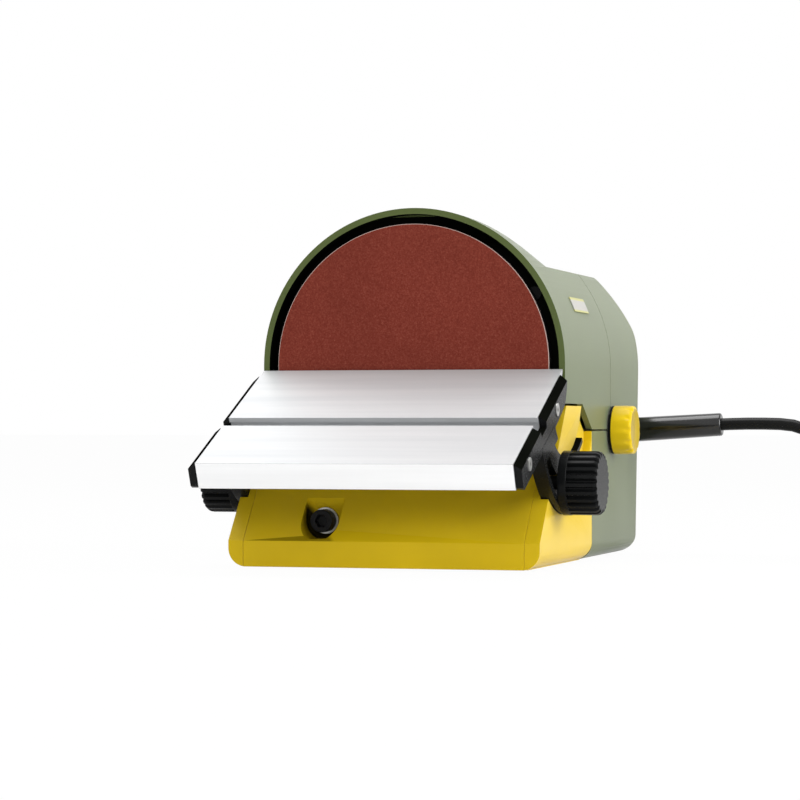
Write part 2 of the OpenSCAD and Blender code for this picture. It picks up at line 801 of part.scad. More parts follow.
module drive_belt() {
    y = pulley_y + rim_t + fit;
    color("black") placed() along_y(y, y + belt_w) translate([0, axis_z]) difference() {
        polygon(belt_loop(fit + belt_t));
        polygon(belt_loop(fit));
    }
}

module chassis_posts() {
    color("silver") placed() for (p = post_xz) {
        rod_y(carrier_y + fit, plate_y - fit, p[0], p[1], post_r);
        rod_y(bulkhead_y, plate_y + plate_t, p[0], p[1], post_tip_r);
    }
}

module motor_plate() {
    color("silver") placed() difference() {
        along_y(plate_y, plate_y + plate_t) intersection() {
            translate([0, axis_z]) circle(inner_r - 10);
            translate([-62, 56]) square([94, 74]);
        }
        rod_y(0, far, -motor_x, motor_z, 7);
        for (s = [-1, 1]) rod_y(0, far, s * 15 - motor_x, motor_z, tread + 0.2);
        for (p = post_xz) rod_y(0, far, p[0], p[1], post_tip_r + 0.1);
    }
}

module motor_can() {
    color("gray") placed() difference() {
        turned_y(-motor_x, motor_z) polygon([[shaft_r + run_fit, motor_y], [motor_r, motor_y],
            [motor_r, motor_y + motor_l], [motor_r - can_t, motor_y + motor_l],
            [motor_r - can_t, motor_y + 2.4], [6, motor_y + 2.4], [6, motor_y + 6],
            [shaft_r + run_fit, motor_y + 6]]);
        for (s = [-1, 1]) rod_y(0, motor_y + 4, s * 15 - motor_x, motor_z, tread + 0.1);
        for (i = [0:3]) rod_y(0, motor_y + 4, 15 * cos(90 * i + 45) - motor_x,
            motor_z + 15 * sin(90 * i + 45), 3);
    }
}

module motor_magnets() {
    r = motor_r - can_t - fit;
    color("dimgray") placed() along_y(core_y - 1, core_y + core_l + 1) translate([-motor_x, motor_z])
        difference() {
            circle(r);
            circle(r - magnet_t);
            for (s = [-1, 1]) polygon([[0, 0], [30 * s, 40], [0, 60], [-30 * s, 40]]);
            for (s = [-1, 1]) polygon([[0, 0], [30 * s, -40], [0, -60], [-30 * s, -40]]);
        }
}

module motor_end_bell() {
    r = motor_r - can_t - fit;
    color("black") placed() difference() {
        union() {
            turned_y(-motor_x, motor_z) polygon([[shaft_r + run_fit, bell_y], [motor_r, bell_y],
                [motor_r, bell_y + 2], [bell_r, bell_y + 3], [bell_r, bell_y + 6], [6, bell_y + 6],
                [6, bell_y + 9], [shaft_r + run_fit, bell_y + 9]]);
            washer_y(bell_y - 5, bell_y + cut, -motor_x, motor_z, r, r - 2);
            for (s = [-1, 1]) translate([s * 15.5 - motor_x, bell_y - 2, motor_z])
                cube([12.6, 6, 9.6], center = true);
        }
        for (s = [-1, 1]) translate([s * 15 - motor_x, brush_y + 2, motor_z])
            cube([14, 4.6, 6.6], center = true);
    }
}

module carbon_brushes() {
    color("dimgray") placed() for (s = [-1, 1])
        translate([s * 14.2 - motor_x, brush_y + 2, motor_z]) cube([11.6, 4, 6], center = true);
}

module motor_screws() {
    color("silver") placed() for (s = [-1, 1])
        screw_back(s * 15 - motor_x, plate_y - 0.1, motor_z, plate_t + fit + 2.4);
}

module armature() {
    color("gray") placed() difference() {
        washer_y(core_y, core_y + core_l, -motor_x, motor_z, core_r, shaft_r + run_fit);
        for (i = [0:slots - 1]) rod_y(core_y - cut, core_y + core_l + cut,
            slot_ring * cos(36 * i) - motor_x, motor_z + slot_ring * sin(36 * i), 2.1);
    }
}

module armature_coils() {
    color("chocolate") placed() {
        for (i = [0:slots - 1]) rod_y(core_y - 2, core_y + core_l + 2,
            slot_ring * cos(36 * i) - motor_x, motor_z + slot_ring * sin(36 * i), 1.8);
        for (y = [core_y - 4, core_y + core_l + 0.4])
            washer_y(y, y + 3.6, -motor_x, motor_z, slot_ring + 1.5, comm_r);
    }
}

module commutator() {
    color("peru") placed() washer_y(comm_y, bell_y - fit, -motor_x, motor_z, comm_r, shaft_r + run_fit);
}

module motor_shaft() {
    color("silver") placed() rod_y(pulley_y - 1, bell_y + 10, -motor_x, motor_z, shaft_r);
}

module motor_fan() {
    color("black") placed() {
        washer_y(motor_y + 7, motor_y + 9, -motor_x, motor_z, core_r - 2, shaft_r + run_fit);
        for (i = [0:7]) translate([-motor_x, motor_y + 8.4, motor_z]) rotate([0, 45 * i, 0])
            translate([6, 0, -0.6]) cube([core_r - 9, 1.4, 1.2]);
    }
}

// Dust duct from the disc chamber out through the rear wall
module dust_duct() {
    color("black") placed() difference() {
        union() {
            rod_y(bulkhead_y, port_reach, 0, port_z, port_r);
            rod_y(carrier_y + fit, carrier_y + 4, 0, port_z, port_r + 2.5);
        }
        rod_y(0, far, 0, port_z, port_r - port_wall);
    }
}

// Speed control: a board on bosses, and a potentiometer behind the dial
module control_board() {
    color("darkgreen") placed() difference() {
        union() {
            block([board_x, board_x + 1.6], board_y, [70, 104]);
            block([board_x - 8.6, board_x + 0.4], [board_y[0] + 10, board_y[1] - 10], [76, 90]);
            rod_x(board_x - 14.6, board_x + 0.4, board_y[1] - 6, 88, 5);
            rod_x(board_x - 6.6, board_x + 0.4, board_y[0] + 6, 88, 4);
        }
        for (p = board_yz) rod_x(board_x - 1, board_x + 2, p[0], p[1], tread + 0.1);
    }
}

module potentiometer() {
    color("gray") placed() difference() {
        union() {
            rod_x(housing_r - 13.6, inner_r - fit, dial_y, dial_z, 8);
            rod_x(housing_r - 9.6, housing_r + 0.8, dial_y, dial_z, 4);
        }
        rod_x(housing_r - 12.1, housing_r + cut, dial_y, dial_z, 3 + run_fit);
    }
}

module potentiometer_shaft() {
    color("silver") placed() rod_x(housing_r - 11.6, housing_r + 8, dial_y, dial_z, 3);
}

module speed_dial() {
    x = housing_r + 1.9;
    color("gold") placed() difference() {
        union() {
            rod_x(x, x + dial_h - cut, dial_y, dial_z, dial_r);
            rod_x(x, x + dial_h, dial_y, dial_z, dial_r - cut);
        }
        rod_x(x - cut, housing_r + 8.1, dial_y, dial_z, 3 + run_fit);
        for (i = [0:11]) rod_x(x + 4, x + dial_h + cut, dial_y + (dial_r + 1.6) * cos(30 * i),
            dial_z + (dial_r + 1.6) * sin(30 * i), 2.4);
    }
}

// Rocker switch in the left wall
rocker_x = housing_r - 2;
pivot_r = 1.2;
rocker_tilt = 8;

module switch_body() {
    color("black") placed() left_side() difference() {
        union() {
            block([housing_r - 15.6, housing_r + cut], [switch_y - 6.7, switch_y + 6.7],
                [switch_z - 9.7, switch_z + 9.7]);
            block([housing_r + 0.1, housing_r + 1.6], [switch_y - 8.5, switch_y + 8.5],
                [switch_z - 12, switch_z + 12]);
        }
        block([housing_r - 6, housing_r + 3], [switch_y - 5.7, switch_y + 5.7],
            [switch_z - 9.2, switch_z + 9.2]);
        rod_y(switch_y - 8, switch_y + 8, rocker_x, switch_z, pivot_r + run_fit);
    }
}

module switch_rocker() {
    color("black") placed() left_side() translate([rocker_x, 0, switch_z]) rotate([0, rocker_tilt, 0]) {
        along_y(switch_y - 5.3, switch_y + 5.3)
            polygon([[0, -8], [5.4, -8], [4, 0], [5.4, 8], [0, 8], [-2.6, 0]]);
        rod_y(switch_y - 6.6, switch_y + 6.6, 0, 0, pivot_r);
    }
}

// Clamp that grips the mains lead inside the housing
module cord_clamp() {
    color("black") placed() difference() {
        block([clamp_x - 4, clamp_x + 4], clamp_span, [dial_z + 3.1, dial_z + 6]);
        for (y = clamp_screw_y) rod_z(dial_z, dial_z + 20, clamp_x, y, tread + 0.1);
    }
}

module cord_clamp_screws() {
    color("silver") placed() for (y = clamp_screw_y) {
        rod_z(dial_z + 6.1, dial_z + 8, clamp_x, y, head_r - 0.2);
        rod_z(dial_z - 10.7, dial_z + 7, clamp_x, y, tread);
    }
}

// Moulded sleeve on the lead, with a collar inside the wall
module strain_relief() {
    color("black") placed() {
        translate([housing_r, sleeve_y, dial_z]) rotate([0, 90 - sleeve_rise, 0])
            cylinder(h = sleeve_l, r1 = sleeve_r0, r2 = sleeve_r1);
        rod_x(inner_r - 1, housing_r + 1, sleeve_y, dial_z, sleeve_r0 - fit);
        rod_x(inner_r - 4, inner_r - fit, sleeve_y, dial_z, 7.8);
        rod_x(housing_r - 23.6, inner_r - 3, sleeve_y, dial_z, cord_d / 2);
    }
}

// A ring of points square to direction t, and a tube through a run of such rings
function ring(p, t, r, sides) =
    let (s = unit(cross(t, [0, 0, 1])), u = cross(s, t))
    [for (k = [0:sides - 1]) p + r * (sin(360 * k / sides) * s + cos(360 * k / sides) * u)];

module tube(path, t0, t1, r, sides) {
    n = len(path);
    dirs = [for (i = [0:n - 1]) i == 0 ? t0 : i == n - 1 ? t1 : unit(path[i + 1] - path[i - 1])];
    skin = [for (i = [0:n - 2]) for (k = [0:sides - 1])
        let (a = i * sides + k, b = i * sides + (k + 1) % sides)
        for (f = [[a, b, b + sides], [a, b + sides, a + sides]]) f];
    polyhedron(points = [for (i = [0:n - 1]) each ring(path[i], dirs[i], r, sides)],
        faces = concat([[for (k = [sides - 1:-1:0]) k]], skin,
            [[for (k = [0:sides - 1]) (n - 1) * sides + k]]));
}

lead_path = concat([sleeve_end], [for (p = lead_xz) [p[0], sleeve_y, p[1]]],
    [[coil_x - cord_d, sleeve_y, coil_top]]);

module cord_lead() {
    color("black") placed() tube(lead_path, [cos(sleeve_rise), 0, sin(sleeve_rise)], [1, 0, 0],
        cord_d / 2, lead_sides);
}

// Coil: each layer spirals in or out at a steady rate, and the lead steps down where it turns back
function ease(t) = let (c = min(max(t, 0), 1)) c * c * (3 - 2 * c);
function coil_point(u) =
    let (k = floor(u / layer_turns), v = u - k * layer_turns,
        r = coil_r - layer_step * (k % 2 == 0 ? v : layer_turns - v),
        down = ease((u - layer_turns) * 2 + 0.5) + ease((u - 2 * layer_turns) * 2 + 0.5)
            + ease((u - 3 * layer_turns) * 2 + 0.5), a = 90 - 360 * u)
    [coil_x + r * cos(a), coil_y + r * sin(a), coil_top - layer_step * down];

coil_path = [for (i = [0:turn_rings * coil_turns]) coil_point(i / turn_rings)];
coil_end = coil_path[len(coil_path) - 1];
tail_path = [for (i = [1:8]) let (s = i / 8)
    [coil_end[0], coil_end[1] - tail_l * s, coil_end[2] + (plug_z - coil_end[2]) * ease((s - 0.15) / 0.6)]];
wound_path = concat([[coil_x - cord_d, sleeve_y, coil_top]], coil_path, tail_path);
coil_gap = min([for (i = [0:len(coil_path) - 1]) for (j = [i + 12:1:len(coil_path) - 1])
    norm(coil_path[i] - coil_path[j])]) - cord_d;

module cord_coil() {
    echo("least gap between turns of the coil", coil_gap);
    color("black") placed() tube(wound_path, [1, 0, 0], [0, -1, 0], cord_d / 2, coil_sides);
}

// Flat two-pin plug lying beside the coil
plug_x = coil_end[0];
plug_y = coil_end[1] - tail_l;

module plug_body() {
    y = plug_y - plug_l;
    color("black") placed() difference() {
        union() {
            rod_y(plug_y - 8, plug_y, plug_x, plug_z, 4.6);
            translate([plug_x, 0, floor_lift]) linear_extrude(plug_t) polygon([[-6, plug_y - 6],
                [-plug_w / 2, y + 18], [-plug_w / 2, y + 3], [-plug_w / 2 + 5, y], [plug_w / 2 - 5, y],
                [plug_w / 2, y + 3], [plug_w / 2, y + 18], [6, plug_y - 6]]);
        }
        for (s = [-1, 1]) rod_y(y - cut, y + 9, plug_x + s * pin_pitch / 2, plug_z, pin_r + 0.1);
    }
}

module plug_pins() {
    y = plug_y - plug_l;
    color("silver") placed() for (s = [-1, 1])
        rod_y(y - pin_l, y + 8.5, plug_x + s * pin_pitch / 2, plug_z, pin_r);
}

// The table and its brackets are drawn from the tilt axis, level, with depth along -Y and -Z
module on_table() {
    placed() translate([0, -table_gap, table_z]) rotate([rest_tilt, 0, 0]) children();
}

// Corners given as distance from the rear edge and depth below the top
function tn(points) = [for (p = points) [-p[0], -p[1]]];

// Table section: a skin over two ribs, and a block round the cross slot
module table_section() {
    difference() {
        polygon(tn([[0, 0], [table_d, 0], [table_d, table_t - 0.4], [table_d - 0.4, table_t],
            [14, table_t], [0, 1]]));
        polygon(tn([[slot_t, -cut], [slot_t + slot_w, -cut], [slot_t + slot_w, 2.2],
            [slot_t + slot_w + 1.6, 2.2], [slot_t + slot_w + 1.6, slot_d], [slot_t - 1.6, slot_d],
            [slot_t - 1.6, 2.2], [slot_t, 2.2]]));
        for (t = [[36, 45], [67, 78]])
            polygon(tn([[t[0], skin_t], [t[1], skin_t], [t[1], table_t + cut], [t[0], table_t + cut]]));
    }
}

module table_plate() {
    color("gainsboro") on_table() difference() {
        along_x(-table_w / 2, table_w / 2) table_section();
        both_sides() for (t = [cap_screw_a, cap_screw_b])
            rod_x(table_w / 2 - 11, table_w / 2 + cut, -t, -cap_screw_n, tread + 0.1);
    }
}

// Sector of a ring about the tilt axis, between angles measured down from the table
module ring_sector(r0, r1, a0, a1) {
    intersection() {
        difference() {
            circle(r1);
            circle(r0);
        }
        polygon(concat([[0, 0]], arc([0, 0], 2 * r1, 180 + a0, 180 + a1)));
    }
}

module below(n) {
    translate([-far, -far - n]) square([2 * far, far]);
}

// End cap of the table in one piece with the slotted arc that the clamp grips
module bracket_side() {
    difference() {
        union() {
            along_x(cap_x0, cap_x1) polygon(tn([[6.2, 0], [6.8, 1.9], [9, 5.3], [13.2, 9], [16.2, 10.3],
                [21.3, 10.8], [40, table_t], [table_d - 1.3, table_t], [table_d + 0.2, table_t - 1.5],
                [table_d + 0.2, 0]]));
            along_x(cap_x0, flange_x) intersection() {
                ring_sector(arc_r0, arc_r1, 0, 60);
                polygon(tn([[30, table_t - 2], [table_d, table_t - 2], [table_d, gusset_n], [30, gusset_n]]));
            }
            along_x(min(cap_x0, web_x1 - 0.8), max(cap_x1 - 0.8, flange_x)) intersection() {
                ring_sector(arc_r0, arc_r1, 0, 60);
                polygon(tn([[30, table_t + 1], [table_d, table_t + 1], [table_d, gusset_n], [30, gusset_n]]));
            }
            along_x(web_x0, web_x1) intersection() {
                ring_sector(arc_r0, arc_r1, 0, web_end);
                below(under_n);
            }
            along_x(web_x0, flange_x) intersection() {
                ring_sector(arc_r1 - flange_t, arc_r1, 0, web_end);
                below(under_n);
            }
            along_x(web_x0, flange_x) ring_sector(arc_r0, arc_r0 + finger_w, finger_a0, finger_a1);
        }
        along_x(web_x0 - cut, flange_x + cut) {
            ring_sector(clamp_r - guide_r, clamp_r + guide_r, guide_a0, guide_a1);
            for (a = [guide_a0, guide_a1]) rotate(180 + a) translate([clamp_r, 0]) circle(guide_r - settle);
        }
        along_x(cap_x0 - cut, flange_x + cut)
            polygon(tn([[slot_t - 1.3, -cut], [slot_t - 1.3, 5], [slot_t + slot_w + 0.6, 5],
                [slot_t + slot_w + 2.8, -cut]]));
        along_y(-table_d - cut, cut) polygon([[cap_x0, cut], [cap_x0, 0],
            [flange_x, -0.8 * (flange_x - cap_x0)], [flange_x, cut]]);
        for (t = [cap_screw_a, cap_screw_b]) {
            rod_x(cap_x0 - cut, flange_x, -t, -cap_screw_n, tread + 0.2);
            rod_x(cap_x1 - 1, flange_x + cut, -t, -cap_screw_n, head_r + 0.2);
        }
    }
}

module bracket_right() {
    color("black") on_table() bracket_side();
}

module bracket_left() {
    color("black") on_table() left_side() bracket_side();
}

module bracket_screws() {
    color("silver") on_table() both_sides() for (t = [cap_screw_a, cap_screw_b]) difference() {
        union() {
            rod_x(cap_x1 - 0.9, cap_x1 + 0.4, -t, -cap_screw_n, head_r - 0.1);
            rod_x(cap_x0 - 10, cap_x1, -t, -cap_screw_n, tread);
        }
        rod_x(cap_x1 - 0.5, cap_x1 + cut, -t, -cap_screw_n, 1.1, $fn = 6);
    }
}

// Fluted clamp knob on its stud
module knob_side() {
    r = knob_r - 0.2;
    difference() {
        union() {
            rod_x(collar_x, flute_x, -clamp_y, clamp_z, knob_r);
            rod_x(flute_x - cut, knob_x - 1, -clamp_y, clamp_z, r);
            translate([knob_x - 1, -clamp_y, clamp_z]) rotate([0, 90, 0]) cylinder(h = 1, r1 = r, r2 = r - 1);
        }
        rod_x(collar_x - cut, collar_x + 10.2, -clamp_y, clamp_z, stud_r + run_fit);
        for (i = [0:knob_flutes - 1]) let (a = 360 * i / knob_flutes)
            rod_x(flute_x, knob_x + cut, (r + 0.4) * cos(a) - clamp_y, clamp_z + (r + 0.4) * sin(a), 1.1);
    }
}

module knob_right() {
    color("black") placed() knob_side();
}

module knob_left() {
    color("black") placed() left_side() knob_side();
}

module stud_right() {
    color("silver") placed() rod_x(insert_x + 1, collar_x + 10, -clamp_y, clamp_z, stud_r);
}

module stud_left() {
    color("silver") placed() left_side() rod_x(insert_x + 1, collar_x + 10, -clamp_y, clamp_z, stud_r);
}

// Threaded inserts that the studs screw into, headed inside the cheeks
module clamp_inserts() {
    color("goldenrod") placed() both_sides() difference() {
        union() {
            rod_x(insert_x, groove_x - 0.1, -clamp_y, clamp_z, insert_r);
            rod_x(insert_x, cheek_x - 0.1, -clamp_y, clamp_z, insert_r + 0.6);
        }
        rod_x(insert_x - cut, groove_x + cut, -clamp_y, clamp_z, stud_r + run_fit);
    }
}

base_body();
front_panel();
panel_bolt();
panel_washer();
front_shell();
rear_shell();
shell_screws();
base_plate();
base_screws();
rubber_feet();
label_plate();
bulkhead();
bulkhead_screws();
spindle_carrier();
carrier_screws();
bearing_outer_rings();
bearing_balls();
bearing_inner_rings();
spindle();
backing_disc();
abrasive_disc();
hub_screw();
driven_pulley();
drive_belt();
chassis_posts();
motor_plate();
motor_can();
motor_magnets();
motor_end_bell();
carbon_brushes();
motor_screws();
armature();
armature_coils();
commutator();
motor_shaft();
motor_fan();
motor_pulley();
dust_duct();
control_board();
potentiometer();
potentiometer_shaft();
speed_dial();
switch_body();
switch_rocker();
cord_clamp();
cord_clamp_screws();
strain_relief();
cord_lead();
cord_coil();
plug_body();
plug_pins();
table_plate();
bracket_left();
bracket_right();
bracket_screws();
knob_left();
stud_left();
knob_right();
stud_right();
clamp_inserts();
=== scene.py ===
# %% [markdown]
# A benchtop disc sander: a green arched housing on a yellow base, a red-brown abrasive disc,
# and an aluminium table that tilts between two slotted brackets. The exact solids are loaded
# first. Every piece that is made here is placed against them, in metres, with X to the
# right, Y back from the disc and Z up.

# %% Load the solids
import json
from math import radians, sin, cos, pi, atan2
import bmesh
import bpy
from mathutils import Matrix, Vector


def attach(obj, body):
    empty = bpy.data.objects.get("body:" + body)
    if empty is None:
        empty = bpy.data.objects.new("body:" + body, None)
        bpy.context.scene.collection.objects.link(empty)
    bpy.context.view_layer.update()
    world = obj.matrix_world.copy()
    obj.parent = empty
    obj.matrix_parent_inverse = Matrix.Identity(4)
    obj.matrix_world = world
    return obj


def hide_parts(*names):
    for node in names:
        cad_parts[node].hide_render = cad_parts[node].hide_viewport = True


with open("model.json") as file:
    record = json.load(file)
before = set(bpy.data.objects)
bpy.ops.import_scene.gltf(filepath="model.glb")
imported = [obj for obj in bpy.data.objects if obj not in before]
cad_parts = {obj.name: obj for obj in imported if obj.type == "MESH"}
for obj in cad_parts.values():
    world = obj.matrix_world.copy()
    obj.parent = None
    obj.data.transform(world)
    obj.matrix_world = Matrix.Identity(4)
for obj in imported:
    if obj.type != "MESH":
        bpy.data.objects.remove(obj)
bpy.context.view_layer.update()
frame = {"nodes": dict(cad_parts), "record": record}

# %% [markdown]
# Sizes on this machine are easiest to think of in millimetres, counted along Y from the face
# of the disc. One small function turns such a place into metres from the origin, which lies
# under the middle of the machine.

# %% Places in millimetres from the disc face
MM = 0.001
DISC_FACE = -47.0


def at(x, y, z):
    return Vector((x, y + DISC_FACE, z)) * MM


# %% [markdown]
# The camera stands low, in front and to the right, about as high as the middle of the table
# and looking very slightly up. The lens is long, so the machine shows little perspective.

# %% Camera
view_data = bpy.data.cameras.new("camera")
view_data.lens, view_data.sensor_width = 128.05, 36.0
view_data.clip_start, view_data.clip_end = 0.05, 60.0
camera = bpy.data.objects.new("camera", view_data)
camera.location = at(349.2, -1215.2, 63.3)
camera.rotation_euler = (radians(90.492), 0.0, radians(16.271))
bpy.context.collection.objects.link(camera)
bpy.context.scene.camera = camera
print("camera at", [round(v, 3) for v in camera.location])

# %% [markdown]
# Most pieces start from a primitive or from a copy of a solid, and operators act on whatever
# is selected. These helpers keep the selection clean, and give each finished piece its body
# and the solid that it stands for.

# %% Helpers for selecting and placing
body_of = {n: b for b, ns in frame["record"]["behaviour"]["bodies"].items() for n in ns}
slot_of = {s["node"]: s["material_slot"] for s in frame["record"]["subparts"]}


def only(obj):
    if bpy.context.object and bpy.context.object.mode != "OBJECT":
        bpy.ops.object.mode_set(mode="OBJECT")
    bpy.ops.object.select_all(action="DESELECT")
    obj.select_set(True)
    bpy.context.view_layer.objects.active = obj


def stand_for(piece, *nodes):
    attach(piece, body_of[nodes[0]])
    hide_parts(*nodes)
    return piece


def edit(obj):
    only(obj)
    bpy.ops.object.mode_set(mode="EDIT")


def pick(obj, kind, test):
    """In edit mode, selects the vertices, edges or faces that pass a test, and nothing else."""
    bpy.ops.mesh.select_all(action="DESELECT")
    bpy.ops.mesh.select_mode(type={"verts": "VERT", "edges": "EDGE", "faces": "FACE"}[kind])
    mesh = bmesh.from_edit_mesh(obj.data)
    for item in getattr(mesh, kind):
        item.select_set(bool(test(item)))
    mesh.select_flush_mode()
    bmesh.update_edit_mesh(obj.data)


def settle(obj):
    """Leaves edit mode and puts the piece's place into its mesh."""
    only(obj)
    bpy.ops.object.transform_apply(location=True, rotation=True, scale=True)


def modify(obj, kind, **values):
    only(obj)
    mod = obj.modifiers.new(kind.lower(), kind)
    for key, value in values.items():
        setattr(mod, key, value)
    bpy.ops.object.modifier_apply(modifier=mod.name)


def round_edges(obj, width, segments=2, angle=28):
    only(obj)
    bpy.ops.object.shade_smooth_by_angle(angle=radians(32))
    modify(obj, "BEVEL", width=width * MM, segments=segments, limit_method="ANGLE", harden_normals=True,
           angle_limit=radians(angle), use_clamp_overlap=True, miter_outer="MITER_ARC")


# %% [markdown]
# The mains lead is one fixed length of round cable. It leaves a tapered sleeve on the right
# of the machine, runs level out of the picture, bends down to the bench and is wound into a
# neat coil, four layers high, with its plug beside it. The coil's line is a spiral that
# runs in and out at a steady rate and steps down a layer where it turns back. A curve with
# a round bevel follows it.

# %% The line of the mains lead
CORD_D, RISE = 6.0, 3.4
WALL_X, LEAD_Y, LEAD_Z, SLEEVE_LENGTH = 69.6, 145.0, 60.7, 44.4
sleeve_end = (WALL_X + SLEEVE_LENGTH * cos(radians(RISE)), LEAD_Y,
              LEAD_Z + SLEEVE_LENGTH * sin(radians(RISE)))
lead = [(118, 63.5), (126, 63.7), (134, 63.7), (142, 63.5), (148.2, 62.8), (154.2, 60.9),
        (159.6, 57.8), (164.3, 53.6), (168, 48.5), (171, 43.2), (174.1, 37.8), (177.8, 32.7),
        (182.5, 28.5), (187.9, 25.4), (193.9, 23.5), (200.1, 22.8)]
COIL_R, STEP, TURNS, LAYERS = 40.6, 6.6, 7.25, 4
COIL_X, COIL_Y = 214.0, LEAD_Y - COIL_R
BENCH_GAP, TURN_POINTS, TAIL_POINTS = 0.05, 36, 12
TOP = BENCH_GAP + CORD_D / 2 + (LAYERS - 1) * STEP


def ease(t):
    t = min(max(t, 0.0), 1.0)
    return t * t * (3 - 2 * t)


def coil_point(u):
    turn = TURNS / LAYERS
    k = int(u / turn + 1e-9)
    v = u - k * turn
    r = COIL_R - STEP * (v if k % 2 == 0 else turn - v)
    down = sum(ease((u - i * turn) * 2 + 0.5) for i in (1, 2, 3))
    a = radians(90 - 360 * u)
    return (COIL_X + r * cos(a), COIL_Y + r * sin(a), TOP - STEP * down)


wound = [coil_point(i / TURN_POINTS) for i in range(int(TURN_POINTS * TURNS) + 1)]
TAIL, PLUG_Z = 36.0, 7.05
end = wound[-1]
tail = [(end[0], end[1] - TAIL * t, end[2] + (PLUG_Z - end[2]) * ease((t - 0.15) / 0.6))
        for t in [i / TAIL_POINTS for i in range(1, TAIL_POINTS + 1)]]
route = [at(*sleeve_end)] + [at(x, LEAD_Y, z) for x, z in lead]
route += [at(COIL_X - CORD_D, LEAD_Y, TOP)] + [at(*p) for p in wound + tail]

# %% [markdown]
# The curve is filled at its ends and beveled to the cable's diameter. Its first stretch and
# the long turns share one spline, so the whole lead is a single piece. It is then turned into
# a mesh tube.

# %% The mains lead
cable = bpy.data.curves.new("mains_lead", "CURVE")
cable.dimensions, cable.bevel_depth, cable.bevel_resolution = "3D", CORD_D / 2 * MM, 5
cable.use_fill_caps = True
line = cable.splines.new("POLY")
line.points.add(len(route) - 1)
for point, place in zip(line.points, route):
    point.co = (*place, 1.0)
line.use_smooth = True
mains_lead = bpy.data.objects.new("mains_lead", cable)
bpy.context.collection.objects.link(mains_lead)
only(mains_lead)
bpy.ops.object.convert(target="MESH")
mains_lead = bpy.context.object
stand_for(mains_lead, "cord_lead", "cord_coil")
print("lead faces", len(mains_lead.data.polygons))

# %% [markdown]
# The sleeve keeps the lead from kinking where it leaves the wall. It is a long moulded taper
# with a rounded mouth. It starts as a cone primitive. Its inner end is extruded through the
# wall to a narrower neck, and its edges are beveled.

# %% Sleeve on the lead
bpy.ops.object.select_all(action="DESELECT")
middle = [(a + b) / 2 for a, b in zip((WALL_X, LEAD_Y, LEAD_Z), sleeve_end)]
bpy.ops.mesh.primitive_cone_add(vertices=48, radius1=5.9 * MM, radius2=5.5 * MM,
                                depth=SLEEVE_LENGTH * MM, location=at(*middle),
                                rotation=(0, radians(90 - RISE), 0))
sleeve = bpy.context.object
sleeve.name = "lead_sleeve"
settle(sleeve)
edit(sleeve)
pick(sleeve, "faces", lambda f: f.normal.x < -0.9)
INWARD, DROP, WAIST = 22.0, 1.3, 0.52
bpy.ops.mesh.extrude_region_move(TRANSFORM_OT_translate={"value": (-INWARD * MM, 0, -DROP * MM)})
bpy.ops.transform.resize(value=(1, WAIST, WAIST), center_override=at(WALL_X - INWARD, LEAD_Y, LEAD_Z))
bpy.ops.object.mode_set(mode="OBJECT")
round_edges(sleeve, 0.9, 3, 40)
stand_for(sleeve, "strain_relief")
print("sleeve faces", len(sleeve.data.polygons))

# %% [markdown]
# The plug is a flat two-pin one. Its body is drawn as an outline that is wide at the pins
# and narrow at the lead, raised to its thickness, and rounded all over so that it looks
# moulded. The pins are the exact solids.

# %% Plug
plug_x, plug_end = end[0], end[1] - TAIL
PLUG_FOOT, PLUG_THICK = 0.4, 13.3
outline = [(-5, 0), (-5.6, -7), (-17, -17), (-17, -31), (-12, -34), (12, -34), (17, -31), (17, -17),
           (5.6, -7), (5, 0)]
bpy.ops.object.select_all(action="DESELECT")
bpy.ops.mesh.primitive_circle_add(vertices=len(outline), radius=0.02, fill_type="NGON")
plug = bpy.context.object
plug.name = "plug_moulding"
for vert, (x, y) in zip(plug.data.vertices, outline):
    vert.co = at(plug_x + x, plug_end + y, PLUG_FOOT)
edit(plug)
bpy.ops.mesh.select_all(action="SELECT")
bpy.ops.mesh.extrude_region_move(TRANSFORM_OT_translate={"value": (0, 0, PLUG_THICK * MM)})
bpy.ops.mesh.select_all(action="SELECT")
bpy.ops.mesh.normals_make_consistent(inside=False)
bpy.ops.object.mode_set(mode="OBJECT")
settle(plug)
round_edges(plug, 2.4, 4, 50)
stand_for(plug, "plug_body")

# %% [markdown]
# A soft strap round one side of the coil holds the turns together. It is a box round the
# bundle, open at both ends, with rounded corners and a little thickness.

# %% Strap round the coil
STRAP_W, STRAP_THICK, STRAP_ROOM, STRAP_RISE = 9.0, 0.8, 0.3, 1.8
INNER_TURN = 1.75
inside = COIL_R - INNER_TURN * STEP - CORD_D / 2 - STRAP_ROOM
outside = COIL_R + CORD_D / 2 + STRAP_ROOM
bpy.ops.object.select_all(action="DESELECT")
bundle = at(COIL_X + (inside + outside) / 2, COIL_Y, TOP / 2 + STRAP_RISE)
bpy.ops.mesh.primitive_cube_add(size=MM, location=bundle)
strap = bpy.context.object
strap.name = "coil_strap"
settle(strap)
edit(strap)
bpy.ops.mesh.select_all(action="SELECT")
bpy.ops.transform.resize(value=(outside - inside, STRAP_W, TOP + 3.0), center_override=bundle)
pick(strap, "faces", lambda f: abs(f.normal.y) > 0.9)
bpy.ops.mesh.delete(type="FACE")
pick(strap, "edges", lambda e: abs(e.verts[0].co.y - e.verts[1].co.y) > 0.001)
bpy.ops.mesh.bevel(offset=3 * MM, segments=5)
bpy.ops.object.mode_set(mode="OBJECT")
modify(strap, "SOLIDIFY", thickness=STRAP_THICK * MM, offset=-1)
only(strap)
bpy.ops.object.shade_smooth_by_angle(angle=radians(40))
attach(strap, body_of["cord_coil"])

# %% [markdown]
# The housing, base, brackets and other moulded or cast pieces already have their true shape
# as solids, but their edges are knife sharp. On the real machine every moulded edge has a
# small round that catches the light. So each solid is copied, its loose triangles are merged
# back into clean faces, and its edges are beveled.

